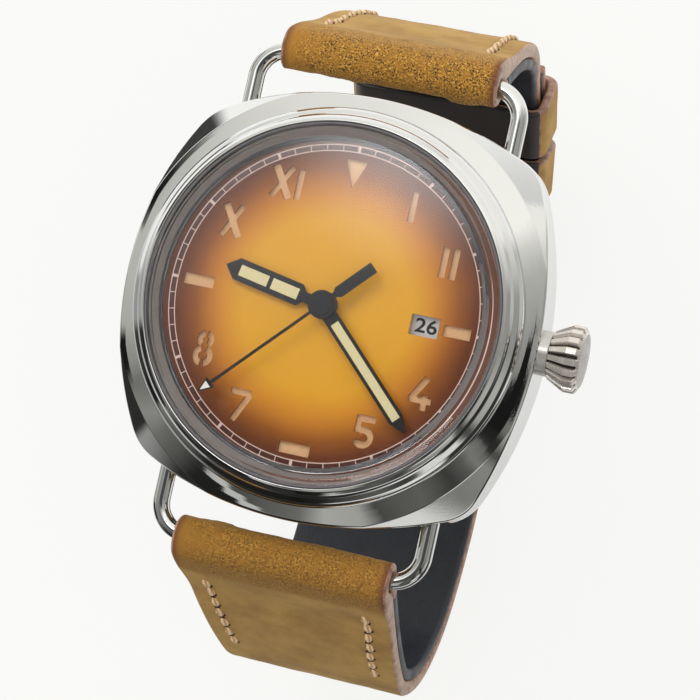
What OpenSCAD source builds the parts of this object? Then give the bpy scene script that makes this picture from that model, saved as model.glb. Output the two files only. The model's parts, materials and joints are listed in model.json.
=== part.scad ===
// Cushion-cased wristwatch on wire lugs, with its strap closed. Heights marked "below the dial"
// are measured from the dial's top face; +Z is out of the dial, +Y to 12 o'clock, +X to the crown.

/* [Case] */
// Half width of the cushion case at 3, 6, 9 and 12 o'clock
case_half = 22.1; // [21.8:0.1:22.6]
// Radius of the bulged case sides
case_side_r = 40; // [38:1:44]
// Radius of the case corners
case_corner_r = 5; // [4.5:0.1:5.5]
// Radius of the domed top of the case
case_dome_r = 45; // [43:1:60]
// Depth of the bezel seat below the dial
bezel_seat_z = 0.3; // [0.2:0.05:0.5]
// Depth of the case's back face below the dial
case_back_z = 7.5; // [7.3:0.1:7.8]
// Distance from the case's side out to where the turned flank begins
flank_out = 0.5; // [0.2:0.1:0.9]
// Drop of the turned flank for each millimetre of radius
flank_slope = 1.1; // [0.8:0.1:1.4]
// Radial wall from the case's bore to the bezel's outer edge
bezel_wall = 2.2; // [2.1:0.05:2.3]

/* [Case back] */
// Overlap of the screwed case back beyond the bore
back_lip = 2.3; // [2:0.1:2.6]
// Thickness of the case back outside the case
back_t = 1.7; // [1.6:0.1:2]
// Floor thickness of the case back
back_floor_t = 1.45; // [1.2:0.05:1.5]
// Radial depth of the back thread outside the bore
spigot_out = 0.8; // [0.7:0.05:0.9]
// Length of the threaded spigot
spigot_len = 1.1; // [1:0.05:1.1]
// Number of key notches
back_notches = 6; // [4:1:12]

/* [Bezel and crystal] */
// Distance from the case's side in to the bezel
bezel_inset = 1.6; // [1.5:0.05:1.7]
// Height of the bezel's inner edge above the dial
bezel_top_z = 2.5; // [2.4:0.05:2.7]
// Radial width of the crystal gasket
gasket_w = 0.3; // [0.25:0.05:0.4]
// Height of the crystal's underside rim above the dial
crystal_z = 1.3; // [1.2:0.05:1.4]
// Height of the crystal's side wall
crystal_edge = 1.3; // [1.2:0.05:1.4]
// Width of the polished bevel round the crystal
crystal_bevel = 0.6; // [0.4:0.05:0.7]
// Height of the crystal's dome above its bevel
crystal_dome = 0.55; // [0.4:0.05:0.8]
// Thickness of the crystal over the hands
crystal_t = 1.05; // [1:0.05:1.1]

/* [Dial] */
// Thickness of the upper dial plate
dial_t = 0.4; // [0.35:0.05:0.45]
// Thickness of the glowing plate under it
lume_t = 0.3; // [0.25:0.05:0.35]
// Radial play of both dial plates in the case
dial_play = 0.15; // [0.1:0.05:0.2]
// Width of the sloped inner ring where it meets the dial
rehaut_w = 0.95; // [0.8:0.05:1]
// Radius on which the numerals are centred
numeral_ring_r = 13.4; // [13:0.1:13.5]
// Height of the cut numerals
numeral_h = 3.2; // [3:0.1:3.6]
// Line width of the cut numerals
numeral_w = 0.7; // [0.6:0.05:0.75]
// Length of the bars at 6 and 9
bar_len = 3.3; // [3:0.1:3.4]
// Width of the bars
bar_w = 1.15; // [0.9:0.05:1.3]
// Distance of the date window from the centre
date_r = 10.5; // [10.4:0.05:10.6]
// Width of the date window
date_w = 3; // [2.8:0.1:3.1]
// Height of the date window
date_h = 2.1; // [1.9:0.1:2.2]

/* [Hands] */
// Length of the hour hand
hour_len = 11.15; // [11:0.05:11.6]
// Width of the hour hand
hour_w = 2.3; // [2.2:0.1:2.6]
// Distance from the minute hand's tip to the dial's rim
minute_short = 2.6; // [2.3:0.05:2.9]
// Width of the minute hand
minute_w = 1.6; // [1.5:0.1:1.8]
// Distance from the seconds hand's tip to the dial's rim
seconds_short = 2.55; // [2.3:0.05:2.9]
// Length of the counterweight on the seconds hand
tail_len = 6.5; // [6:0.1:7]
// Thickness of each hand
hand_t = 0.18; // [0.15:0.01:0.2]
// Clear height between hands
hand_gap = 0.25; // [0.22:0.01:0.28]
// Height of the hour hand above the dial
hour_z = 0.6; // [0.55:0.05:0.65]
// Radius of the round hub on the hands
hub_r = 1.45; // [1.4:0.05:1.6]
// Hour hand's clock angle in degrees
hour_angle = 281; // [0:1:359]
// Minute hand's clock angle in degrees
minute_angle = 134.4; // [0:0.1:359]
// Seconds hand's clock angle in degrees
seconds_angle = 223.8; // [0:0.1:359]

/* [Crown] */
// Depth of the stem's axis below the dial
stem_z = 3.5; // [3.45:0.05:3.6]
// Outer radius of the crown tube
tube_r = 2.3; // [2.2:0.05:2.4]
// Distance from the case's side out to the tube's end
tube_out = 1; // [0.9:0.05:1.2]
// Radius of the crown at its narrow end
crown_small_r = 2.5; // [2.45:0.05:2.6]
// Radius of the crown at its rim
crown_big_r = 3.45; // [3.3:0.05:3.6]
// Length of the fluted cone
crown_cone_len = 1.85; // [1.8:0.05:2]
// Length of the fluted rim
crown_rim_len = 1.05; // [1:0.05:1.2]
// Number of flutes
crown_flutes = 18; // [16:1:20]
// Pull from winding to setting
crown_pull = 1.5; // [1.2:0.1:1.6]
// Radius of the stem
stem_r = 0.6; // [0.55:0.05:0.65]

/* [Movement] */
// Radius of the movement
move_r = 13.7; // [13.6:0.05:13.8]
// Depth of the main plate's dial side below the dial
plate_z = 1.3; // [1.25:0.05:1.35]
// Thickness of the main plate
plate_t = 3.3; // [3.25:0.05:3.35]
// Thickness of the bridges
bridge_t = 1; // [0.95:0.05:1.05]
// Distance of the barrel from the centre
barrel_ring_r = 8.4; // [8.35:0.05:8.45]
// Direction of the barrel from the centre in degrees
barrel_dir = 48; // [46:1:50]
// Radius of the barrel's toothed rim
barrel_r = 4.9; // [4.85:0.01:4.95]
// Distance from barrel to second wheel
barrel_mesh = 5.6; // [5.55:0.01:5.65]
// Distance of the second wheel from the centre
second_ring_r = 5.95; // [5.9:0.01:6]
// Distance from third wheel to its neighbours
third_mesh = 4.5; // [4.48:0.01:4.52]
// Distance of the escape wheel from the centre
escape_ring_r = 4; // [3.95:0.01:4.05]
// Direction of the escape wheel from the centre
escape_dir = -85; // [-87:1:-83]
// Distance of the balance from the centre
balance_ring_r = 8.85; // [8.8:0.01:8.9]
// Direction of the balance from the centre
balance_dir = -125; // [-127:1:-123]
// Outer radius of the balance
balance_r = 4.4; // [4.3:0.05:4.45]
// Distance from the escape wheel to the pallet fork
fork_mesh = 2.65; // [2.6:0.01:2.7]
// Outer radius of the rotor
rotor_r = 13.2; // [13:0.1:13.4]
// Thickness of the rotor's rim
rotor_rim_t = 1.2; // [1:0.1:1.3]
// Clearance of turning shafts, on the radius
run_fit = 0.04; // [0.03:0.01:0.05]

/* [Lug wires] */
// Radius of the lug wire
wire_r = 0.9; // [0.85:0.05:0.95]
// Distance from the strap's side out to the middle of the wire's leg
leg_room = 2.6; // [2.5:0.05:2.8]
// Distance from the case's side out to the wire's bar
wire_out = 3.8; // [3.6:0.1:4.1]
// Bend radius of the wire
wire_bend = 3.2; // [3:0.1:3.3]
// Depth of the wires below the dial
wire_z = 5.5; // [5.4:0.05:5.6]

/* [Strap] */
// Width of the strap at the lugs
strap_w = 23.4; // [23:0.1:24]
// Width of the strap at the buckle
strap_end_w = 20.4; // [20:0.1:21]
// Leather left where it passes under the wire
fold_thin = 0.8; // [0.7:0.05:0.9]
// Thickness of the leather at the lugs
leather_t = 1.7; // [1.6:0.05:1.8]
// Thickness of the lining at the lugs
lining_t = 1.4; // [1.3:0.05:1.5]
// Thickness of the leather at the free ends
leather_end_t = 1.2; // [1.15:0.05:1.25]
// Thickness of the lining at the free ends
lining_end_t = 0.9; // [0.85:0.05:0.95]
// Gap between the two halves where they lie on each other
layer_gap = 0.12; // [0.1:0.01:0.15]
// Distance of the stitch rows from the strap's edge
stitch_inset = 2.6; // [2.4:0.1:3]
// Length of one stitch
stitch_len = 1.5; // [1.4:0.1:1.7]
// Distance from stitch to stitch
stitch_step = 2.35; // [2.1:0.05:2.5]
// Thickness of the thread
thread_d = 0.55; // [0.5:0.05:0.6]
// Number of stitches in each row
stitch_count = 7; // [5:1:7]
// Radius of the tail's holes
hole_r = 1.15; // [1.1:0.05:1.2]
// Length of each keeper along the strap
keeper_len = 6.6; // [6.2:0.1:6.6]
// Wall of the keepers
keeper_t = 1.1; // [1:0.05:1.2]

/* [Buckle] */
// Radius of the buckle frame's rod
frame_rod_r = 0.85; // [0.8:0.05:0.9]
// Distance from hinge bar to front bar along Y
frame_reach = 9.4; // [9.2:0.1:9.6]
// Radius of the hinge bar
bar_r = 0.7; // [0.65:0.05:0.75]
// Width of the tongue
tongue_w = 1.6; // [1.5:0.1:1.8]

/* [Hidden] */

steel = [0.80, 0.80, 0.79];
brass = [0.80, 0.67, 0.36];
nickel = [0.72, 0.72, 0.70];
ruby = [0.72, 0.10, 0.22];
amber = [0.86, 0.55, 0.14];
cream = [0.93, 0.85, 0.66];
near_black = [0.07, 0.07, 0.08];
tan_leather = [0.66, 0.45, 0.17];
dark_lining = [0.10, 0.10, 0.12];
thread_colour = [0.84, 0.75, 0.55];

touch = 0.01;
cut = 0.5;

// What follows from the case's half width
bezel_r = case_half - bezel_inset;
case_bore_r = bezel_r - bezel_wall;
crystal_r = case_bore_r;
spigot_r = case_bore_r + spigot_out;
back_r = case_bore_r + back_lip;
dial_r = case_bore_r - dial_play;
flank_r = case_half + flank_out;
tube_end_x = case_half + tube_out;
wire_bar_y = case_half + wire_out;
wire_leg_x = strap_w / 2 + leg_room;
wire_root = case_half - 4.5;
minute_len = dial_r - minute_short;
seconds_len = dial_r - seconds_short;

// Places of the wheels, all worked out from the distances at which they mesh
function polar(r, a) = [r * cos(a), r * sin(a)];
function corner_angle(near_a, near_b, far) =
    acos((near_a * near_a + near_b * near_b - far * far) / (2 * near_a * near_b));
function heading(p, q) = atan2(q[1] - p[1], q[0] - p[0]);
second_dir = barrel_dir + corner_angle(barrel_ring_r, second_ring_r, barrel_mesh);
third_dir = second_dir + corner_angle(third_mesh, second_ring_r, third_mesh);
barrel_at = polar(barrel_ring_r, barrel_dir);
second_at = polar(second_ring_r, second_dir);
third_at = polar(third_mesh, third_dir);
escape_at = polar(escape_ring_r, escape_dir);
balance_at = polar(balance_ring_r, balance_dir);
fork_dir = heading(escape_at, balance_at);
fork_at = escape_at + polar(fork_mesh, fork_dir);
fork_reach = norm(balance_at - fork_at);

// Tooth counts
barrel_teeth = 84;
second_leaves = 12;
second_teeth = 75;
third_leaves = 10;
third_teeth = 80;
seconds_leaves = 10;
seconds_teeth = 84;
escape_leaves = 7;
cannon_leaves = 12;
minute_teeth = 36;
minute_leaves = 10;
hour_teeth = 40;
winding_teeth = 14;
crown_wheel_teeth = 34;
ratchet_teeth = 50;
date_teeth = 31;

// Pitch radii follow from the distances and the tooth counts
function share(distance, teeth, mate) = distance * teeth / (teeth + mate);
barrel_pitch = share(barrel_mesh, barrel_teeth, second_leaves);
second_pinion_pitch = barrel_mesh - barrel_pitch;
second_pitch = share(third_mesh, second_teeth, third_leaves);
third_pinion_pitch = third_mesh - second_pitch;
third_pitch = share(third_mesh, third_teeth, seconds_leaves);
seconds_pinion_pitch = third_mesh - third_pitch;
seconds_pitch = share(escape_ring_r, seconds_teeth, escape_leaves);
escape_pinion_pitch = escape_ring_r - seconds_pitch;
motion_mesh = 4.9;
minute_wheel_dir = -60;
minute_wheel_at = polar(motion_mesh, minute_wheel_dir);
cannon_pitch = share(motion_mesh, cannon_leaves, minute_teeth);
minute_pitch = motion_mesh - cannon_pitch;
minute_pinion_pitch = share(motion_mesh, minute_leaves, hour_teeth);
hour_pitch = motion_mesh - minute_pinion_pitch;

// Turning angle that puts the second gear's teeth into the first gear's gaps
function mesh_phase(dir, phase_a, teeth_a, teeth_b) =
    dir + 180 - 360 / teeth_b * ((phase_a - dir) * teeth_a / 360 + 0.5);
second_phase = 0;
third_pinion_phase = mesh_phase(heading(second_at, third_at), second_phase, second_teeth, third_leaves);
drive_phase = mesh_phase(heading(third_at, [0, 0]), third_pinion_phase, third_leaves, second_teeth);
seconds_pinion_phase = mesh_phase(heading(third_at, [0, 0]), 0, third_teeth, seconds_leaves);
escape_pinion_phase = mesh_phase(heading([0, 0], escape_at), 0, seconds_teeth, escape_leaves);
barrel_phase = mesh_phase(heading(second_at, barrel_at), 0, second_leaves, barrel_teeth);
minute_wheel_phase = mesh_phase(minute_wheel_dir, 0, cannon_leaves, minute_teeth);
hour_phase = mesh_phase(minute_wheel_dir + 180, 0, minute_leaves, hour_teeth);

// Heights of the train, below the dial
well_z = 2.0;
well_r = 9.2;
floor_z = 2.6;
plate_back = plate_z + plate_t;
bridge_back = plate_back + bridge_t;
pivot_r = 0.14;
arbor_r = 0.3;
jewel_r = 0.5;
jewel_t = 0.3;
train_pockets = [[barrel_at, 5.15], [second_at, 4.3], [third_at, 4.35], [[0, 0], 4.1],
                 [escape_at, 2.45], [balance_at, balance_r + 0.35], [fork_at, 2.5]];

// Keyless works
winding_x = 9.3;
winding_len = 1.1;
sliding_x = 7.7;
sliding_len = 1.3;
winding_pinion_r = 1.44;
ratchet_z = bridge_back - 0.55;
wheel_t = 0.3;
crown_wheel_r = 2.61;
crown_wheel_at = [winding_x + winding_len / 2 - crown_wheel_r, 0];
crown_wheel_dir = heading(crown_wheel_at, barrel_at);
ratchet_mesh = norm(barrel_at - crown_wheel_at);
ratchet_pitch = share(ratchet_mesh, ratchet_teeth, crown_wheel_teeth);
crown_wheel_pitch = ratchet_mesh - ratchet_pitch;
ratchet_phase = mesh_phase(crown_wheel_dir, 0, crown_wheel_teeth, ratchet_teeth);
lever_groove_x = 10.95;
lever_at = [lever_groove_x + crown_pull / 2, 3.9];
post_r = 0.35;

// Hand stack
minute_z = hour_z + hand_t + hand_gap;
seconds_z = minute_z + hand_t + hand_gap;
seconds_arbor_r = 0.32;
cannon_bore = seconds_arbor_r + run_fit;
cannon_r = 0.66;
hour_bore = cannon_r + run_fit;
hour_tube_r = 0.98;
dial_hole_r = hour_tube_r + 0.25;

// Crown
crown_x = tube_end_x + 0.05;
crown_end_x = crown_x + crown_cone_len + crown_rim_len;
crown_chamfer = 0.4;
crown_face_r = 2.75;
tube_thin_r = 1.55;
tube_thin_len = 1.5;
crown_hollow_r = 1.95;

case_dome_z = -bezel_seat_z - sqrt(case_dome_r * case_dome_r - bezel_r * bezel_r);
gasket_outer = crystal_r + gasket_w;
back_low = case_back_z + back_t;

module at_dial() {
    translate([0, 0, dial_height]) children();
}
module ring(outer, inner, low, high, fn = 96) {
    translate([0, 0, low]) difference() {
        cylinder(r = outer, h = high - low, $fn = fn);
        translate([0, 0, -cut]) cylinder(r = inner, h = high - low + 2 * cut, $fn = fn);
    }
}
module disc(r, low, high, fn = 64) {
    translate([0, 0, low]) cylinder(r = r, h = high - low, $fn = fn);
}
module along_x(at_x, y, z) {
    translate([at_x, y, z]) rotate([0, 90, 0]) children();
}

// Outline of a toothed wheel, four corners for each tooth
function gear_points(teeth, pitch_r) =
    let (step = 360 / teeth, size = 2 * pitch_r / teeth)
    [for (i = [0 : teeth - 1], k = [0 : 3])
        polar(pitch_r + (k % 3 == 0 ? -1.15 : 0.65) * size, (i + [-0.22, -0.07, 0.07, 0.22][k]) * step)];
module gear(teeth, pitch_r, low, high, phase = 0) {
    translate([0, 0, low]) rotate(phase) linear_extrude(high - low) polygon(gear_points(teeth, pitch_r));
}
module spoked(r, hub, count, low, high) {
    rim = 0.55;
    difference() {
        children();
        difference() {
            disc(r - rim, low - cut, high + cut);
            disc(hub, low - 2 * cut, high + 2 * cut);
            for (i = [0 : count - 1]) rotate(360 / count * i)
                translate([0, -0.2, low - 2 * cut]) cube([r, 0.4, high - low + 4 * cut]);
        }
    }
}

// Cushion outline: four bulged sides joined by round corners
side_centre = case_side_r - case_half;
corner_reach = case_side_r - case_corner_r;
corner_at = (sqrt(2 * corner_reach * corner_reach - side_centre * side_centre) - side_centre) / 2;
side_half_angle = atan2(corner_at, corner_at + side_centre);
side_steps = 14;
corner_steps = 8;
function quarter_outline() = concat(
    [for (i = [0 : side_steps]) let (a = -side_half_angle + 2 * side_half_angle * i / side_steps)
        [case_side_r * cos(a) - side_centre, case_side_r * sin(a)]],
    [for (i = [1 : corner_steps - 1])
        let (a = side_half_angle + (90 - 2 * side_half_angle) * i / corner_steps)
        [corner_at + case_corner_r * cos(a), corner_at + case_corner_r * sin(a)]]);
function turned(points, a) =
    [for (p = points) [p[0] * cos(a) - p[1] * sin(a), p[0] * sin(a) + p[1] * cos(a)]];
function case_outline() = [for (k = [0 : 3], p = turned(quarter_outline(), 90 * k)) p];

// Turned form of the case: spherical dome, steeper flank beyond it, chamfer at the back
dome_steps = 8;
case_reach = case_half + 3.9;
chamfer_r = case_half + 2.1;
function dome_z(r) = case_dome_z + sqrt(case_dome_r * case_dome_r - r * r);
function case_profile() = concat(
    [[0, -case_back_z], [chamfer_r, -case_back_z], [case_reach, -case_back_z + 1.2],
     [case_reach, dome_z(flank_r) - flank_slope * (case_reach - flank_r)]],
    [for (i = [dome_steps : -1 : 0])
        let (r = bezel_r + (flank_r - bezel_r) * i / dome_steps) [r, dome_z(r)]],
    [[0, dome_z(bezel_r)]]);

module case_middle() {
    color(steel) at_dial() difference() {
        intersection() {
            translate([0, 0, -case_back_z - 1]) linear_extrude(case_back_z + 3) polygon(case_outline());
            rotate_extrude($fn = 128) polygon(case_profile());
        }
        disc(case_bore_r, -case_back_z - cut, 2, 128);
        disc(spigot_r + 0.05, -case_back_z - cut, -case_back_z + spigot_len + 0.05, 128);
        ring(spigot_r + 0.85, spigot_r + 0.3, -case_back_z - cut, -case_back_z + 0.55, 128);
        along_x(case_bore_r - cut, 0, -stem_z) cylinder(r = tube_r, h = 6, $fn = 64);
        for (x = [-1, 1], y = [-1, 1])
            translate([x * wire_leg_x, y * wire_root, -wire_z]) rotate([-90 * y, 0, 0])
                cylinder(r = wire_r + 0.02, h = 4, $fn = 48);
    }
}
module bezel() {
    color(steel) at_dial() rotate_extrude($fn = 128)
        polygon([[case_bore_r, -bezel_seat_z], [bezel_r, -bezel_seat_z], [bezel_r, 0.35],
                 [bezel_r - 0.12, 0.75], [bezel_r - 0.42, 1.2], [bezel_r - 0.9, 1.6], [bezel_r - 0.98, 1.72],
                 [bezel_r - 1.15, 1.95], [bezel_r - 1.5, 2.32], [gasket_outer + 0.15, bezel_top_z],
                 [gasket_outer, bezel_top_z - 0.1], [gasket_outer, crystal_z], [case_bore_r, crystal_z]]);
}
function arc_z(r, reach, rise) =
    let (big = (reach * reach + rise * rise) / (2 * rise)) sqrt(big * big - r * r) - (big - rise);
module crystal() {
    inner = crystal_r - 1.1;
    shoulder = crystal_r - crystal_bevel;
    edge_z = crystal_z + crystal_edge;
    top = edge_z + crystal_bevel * 0.6;
    steps = 10;
    color([0.85, 0.92, 0.95, 0.35]) at_dial() rotate_extrude($fn = 128) polygon(concat(
        [[inner, crystal_z], [crystal_r, crystal_z], [crystal_r, edge_z]],
        [for (i = [0 : steps]) let (r = shoulder * (1 - i / steps))
            [r, top + arc_z(r, shoulder, crystal_dome)]],
        [for (i = [0 : steps]) let (r = inner * i / steps)
            [r, top - crystal_t + arc_z(r, shoulder, crystal_dome)]]));
}
module crystal_gasket() {
    color(near_black) at_dial()
        ring(gasket_outer, crystal_r, crystal_z, crystal_z + crystal_edge - 0.15, 128);
}
module rehaut_ring() {
    lip = 0.25;
    color(steel) at_dial() rotate_extrude($fn = 128)
        polygon([[dial_r - rehaut_w, 0], [dial_r, 0], [dial_r, crystal_z], [dial_r - lip, crystal_z]]);
}
module caseback() {
    notch_w = 2.6;
    color(steel) at_dial() difference() {
        union() {
            rotate_extrude($fn = 128)
                polygon([[0, -back_low], [back_r - 1.3, -back_low], [back_r, -back_low + 0.9],
                         [back_r, -case_back_z], [0, -case_back_z]]);
            ring(spigot_r, spigot_r - 1, -case_back_z - 0.1, -case_back_z + spigot_len, 128);
        }
        disc(spigot_r - 1, -back_low + back_floor_t, 0, 128);
        for (i = [0 : back_notches - 1]) rotate(360 / back_notches * (i + 0.5))
            translate([back_r - 2.4, -notch_w / 2, -back_low - cut]) cube([4, notch_w, cut + 0.6]);
    }
}
module caseback_gasket() {
    color(near_black) at_dial() translate([0, 0, -case_back_z + 0.25]) rotate_extrude($fn = 96)
        translate([spigot_r + 0.575, 0]) circle(r = 0.25, $fn = 24);
}
module lug_wire(side) {
    leg_end = wire_root + 0.9;
    leg_len = wire_bar_y - wire_bend - leg_end;
    color(steel) at_dial() translate([0, 0, -wire_z]) mirror([0, side < 0 ? 1 : 0, 0]) {
        along_x(-(wire_leg_x - wire_bend), wire_bar_y, 0)
            cylinder(r = wire_r, h = 2 * (wire_leg_x - wire_bend), $fn = 48);
        for (k = [-1, 1]) {
            translate([k * wire_leg_x, leg_end, 0]) rotate([-90, 0, 0])
                cylinder(r = wire_r, h = leg_len, $fn = 48);
            translate([k * (wire_leg_x - wire_bend), wire_bar_y - wire_bend, 0]) rotate(k > 0 ? 0 : 90)
                rotate_extrude(angle = 90, $fn = 64) translate([wire_bend, 0]) circle(r = wire_r, $fn = 48);
        }
    }
}
module lug_wire_12() { lug_wire(1); }
module lug_wire_6() { lug_wire(-1); }

// Crown and stem, turning about the stem's axis
module crown_tube() {
    color(steel) at_dial() difference() {
        union() {
            along_x(case_bore_r + 0.05, 0, -stem_z)
                cylinder(r = tube_r, h = tube_end_x - case_bore_r - 0.05, $fn = 64);
            along_x(tube_end_x - touch, 0, -stem_z) cylinder(r = tube_thin_r, h = tube_thin_len, $fn = 64);
        }
        along_x(case_bore_r - cut, 0, -stem_z) cylinder(r = stem_r + run_fit, h = 10, $fn = 48);
    }
}
module crown() {
    flute_w = 0.42;
    hollow_len = tube_thin_len + 0.3;
    slope = atan((crown_big_r - crown_small_r) / crown_cone_len);
    color(steel) at_dial() translate([0, 0, -stem_z]) rotate([0, 90, 0]) difference() {
        rotate_extrude($fn = 96)
            polygon([[0, crown_x], [crown_small_r, crown_x], [crown_big_r, crown_x + crown_cone_len],
                     [crown_big_r, crown_end_x], [crown_face_r, crown_end_x + crown_chamfer],
                     [crown_face_r * 0.6, crown_end_x + crown_chamfer + 0.16],
                     [0, crown_end_x + crown_chamfer + 0.24]]);
        translate([0, 0, crown_x - cut]) cylinder(r = tube_thin_r + 0.08, h = hollow_len + cut, $fn = 64);
        translate([0, 0, crown_x + 0.5]) cylinder(r = crown_hollow_r, h = 0.7, $fn = 64);
        translate([0, 0, crown_x - cut]) cylinder(r = stem_r, h = hollow_len + 1.2 + cut, $fn = 48);
        for (i = [0 : crown_flutes - 1]) rotate(360 / crown_flutes * i) {
            translate([crown_small_r + 0.1, 0, crown_x - 0.3]) rotate([0, slope, 0])
                cylinder(r = flute_w / 2, h = crown_cone_len + 0.4, $fn = 16);
            translate([crown_big_r + 0.02, 0, crown_x + crown_cone_len - 0.2])
                cylinder(r = flute_w / 2, h = crown_rim_len + 0.6, $fn = 16);
        }
    }
}
module crown_gasket() {
    color(near_black) at_dial() along_x(crown_x + 0.85, 0, -stem_z) rotate_extrude($fn = 64)
        translate([tube_thin_r + 0.02 + 0.16, 0]) circle(r = 0.16, $fn = 20);
}
module winding_stem() {
    inner_x = sliding_x - 0.8;
    outer_x = crown_x + tube_thin_len + 1.5;
    color(steel) at_dial() difference() {
        along_x(inner_x, 0, -stem_z) cylinder(r = stem_r, h = outer_x - inner_x, $fn = 48);
        along_x(lever_groove_x - 0.45, 0, -stem_z) difference() {
            cylinder(r = 2, h = 0.9, $fn = 32);
            cylinder(r = stem_r * 0.55, h = 0.9, $fn = 32);
        }
    }
}

// Dial side
module stroke(p, q, w) {
    translate(p) rotate(heading(p, q)) translate([-0.05, -w / 2]) square([norm(q - p) + 0.1, w]);
}
module bow(r, w, from, to) {
    steps = 16;
    polygon(concat([for (i = [0 : steps]) polar(r + w / 2, from + (to - from) * i / steps)],
                   [for (i = [steps : -1 : 0]) polar(r - w / 2, from + (to - from) * i / steps)]));
}
module numeral_one() { square([numeral_w, numeral_h], center = true); }
module numeral_two() {
    for (k = [-0.55, 0.55]) translate([k, 0]) numeral_one();
}
module numeral_ten() {
    stroke([-0.95, numeral_h / 2], [0.95, -numeral_h / 2], numeral_w * 1.15);
    stroke([0.85, numeral_h / 2], [-0.85, -numeral_h / 2], numeral_w * 0.9);
}
module numeral_eleven() {
    translate([-0.6, 0]) numeral_ten();
    translate([1.25, 0]) numeral_one();
}
module numeral_four() {
    stroke([0.35, numeral_h / 2], [-0.95, -0.6], numeral_w);
    stroke([-1.1, -0.65], [1.15, -0.65], numeral_w * 0.9);
    stroke([0.45, -0.15], [0.45, -numeral_h / 2], numeral_w);
}
module numeral_five() {
    top = numeral_h / 2;
    stroke([-0.75, top - 0.3], [0.95, top - 0.3], numeral_w);
    stroke([-0.68, top - 0.1], [-0.72, -0.1], numeral_w * 0.9);
    translate([0, -0.6]) bow(0.78, numeral_w, -150, 140);
}
module numeral_seven() {
    top = numeral_h / 2;
    stroke([-1.05, top - 0.3], [1.05, top - 0.3], numeral_w);
    stroke([0.95, top - 0.5], [-0.35, -top], numeral_w);
}
module numeral_eight() {
    translate([0, 0.9]) {
        bow(0.62, numeral_w * 0.9, -60, 80);
        bow(0.62, numeral_w * 0.9, 100, 240);
    }
    translate([0, -0.78]) {
        bow(0.78, numeral_w, -80, 70);
        bow(0.78, numeral_w, 110, 260);
    }
}
module at_hour(h) { translate(polar(numeral_ring_r, 90 - 30 * h)) children(); }
module markers() {
    polygon([[-1.2, 15.15], [1.2, 15.15], [0, 12.2]]);
    at_hour(1) numeral_one();
    at_hour(2) numeral_two();
    at_hour(4) numeral_four();
    at_hour(5) numeral_five();
    at_hour(7) numeral_seven();
    at_hour(8) numeral_eight();
    at_hour(10) numeral_ten();
    at_hour(11) numeral_eleven();
    translate([-15.35, -bar_w / 2]) square([bar_len, bar_w]);
    translate([-bar_len / 2, -15.4]) square([bar_len, bar_w]);
    translate([date_r + date_w / 2 + 0.48, -bar_w / 2]) square([bar_len - 0.45, bar_w]);
}
module date_window() {
    translate([date_r - date_w / 2, -date_h / 2]) square([date_w, date_h]);
}
module dial_plate() {
    color(amber) at_dial() translate([0, 0, -dial_t]) linear_extrude(dial_t) difference() {
        circle(r = dial_r, $fn = 128);
        circle(r = dial_hole_r, $fn = 48);
        markers();
        date_window();
    }
}
module lume_plate() {
    color(cream) at_dial() translate([0, 0, -dial_t - lume_t]) linear_extrude(lume_t) difference() {
        circle(r = dial_r, $fn = 128);
        circle(r = dial_hole_r, $fn = 48);
        date_window();
    }
}
date_in = date_r - date_w / 2 - 0.6;
date_out = date_r + date_w / 2 + 0.6;
date_top = dial_t + lume_t + 0.2;
function date_gap_points() = [for (i = [0 : date_teeth - 1], k = [0 : 3])
    polar(date_in + (k % 3 == 0 ? 0 : 0.55), (i + [-0.3, -0.15, 0.15, 0.3][k]) * 360 / date_teeth)];
module date_disc() {
    color([0.86, 0.86, 0.85]) at_dial() translate([0, 0, -date_top - 0.2]) linear_extrude(0.2) difference() {
        circle(r = date_out, $fn = 96);
        polygon(date_gap_points());
    }
}

// Hands, drawn along +X and turned to their clock angle
module hand_at(angle, z) {
    at_dial() translate([0, 0, z]) rotate(90 - angle) children();
}
hour_windows = [[2.9, 3], [6.35, 3.2]];
window_w = 1.15;
module hour_hand() {
    half = hour_w / 2;
    color(near_black) hand_at(hour_angle, hour_z) linear_extrude(hand_t) difference() {
        union() {
            circle(r = hub_r, $fn = 48);
            polygon([[0, -0.55], [2.2, -0.55], [2.75, -half], [hour_len - 1.25, -half], [hour_len, 0],
                     [hour_len - 1.25, half], [2.75, half], [2.2, 0.55], [0, 0.55]]);
        }
        circle(r = hour_tube_r, $fn = 48);
        for (w = hour_windows) translate([w[0], -window_w / 2]) square([w[1], window_w]);
    }
}
module hour_hand_lume() {
    color(cream) hand_at(hour_angle, hour_z) linear_extrude(hand_t)
        for (w = hour_windows) translate([w[0], -window_w / 2]) square([w[1], window_w]);
}
minute_window = [2.3, 11.7];
minute_window_w = 0.9;
module minute_hand() {
    half = minute_w / 2;
    color(near_black) hand_at(minute_angle, minute_z) linear_extrude(hand_t) difference() {
        union() {
            circle(r = hub_r, $fn = 48);
            polygon([[0, -half], [minute_len - 1.6, -half], [minute_len, -0.1], [minute_len, 0.1],
                     [minute_len - 1.6, half], [0, half]]);
        }
        circle(r = cannon_r, $fn = 48);
        translate([minute_window[0], -minute_window_w / 2]) square([minute_window[1], minute_window_w]);
    }
}
module minute_hand_lume() {
    color(cream) hand_at(minute_angle, minute_z) linear_extrude(hand_t)
        translate([minute_window[0], -minute_window_w / 2]) square([minute_window[1], minute_window_w]);
}
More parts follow.
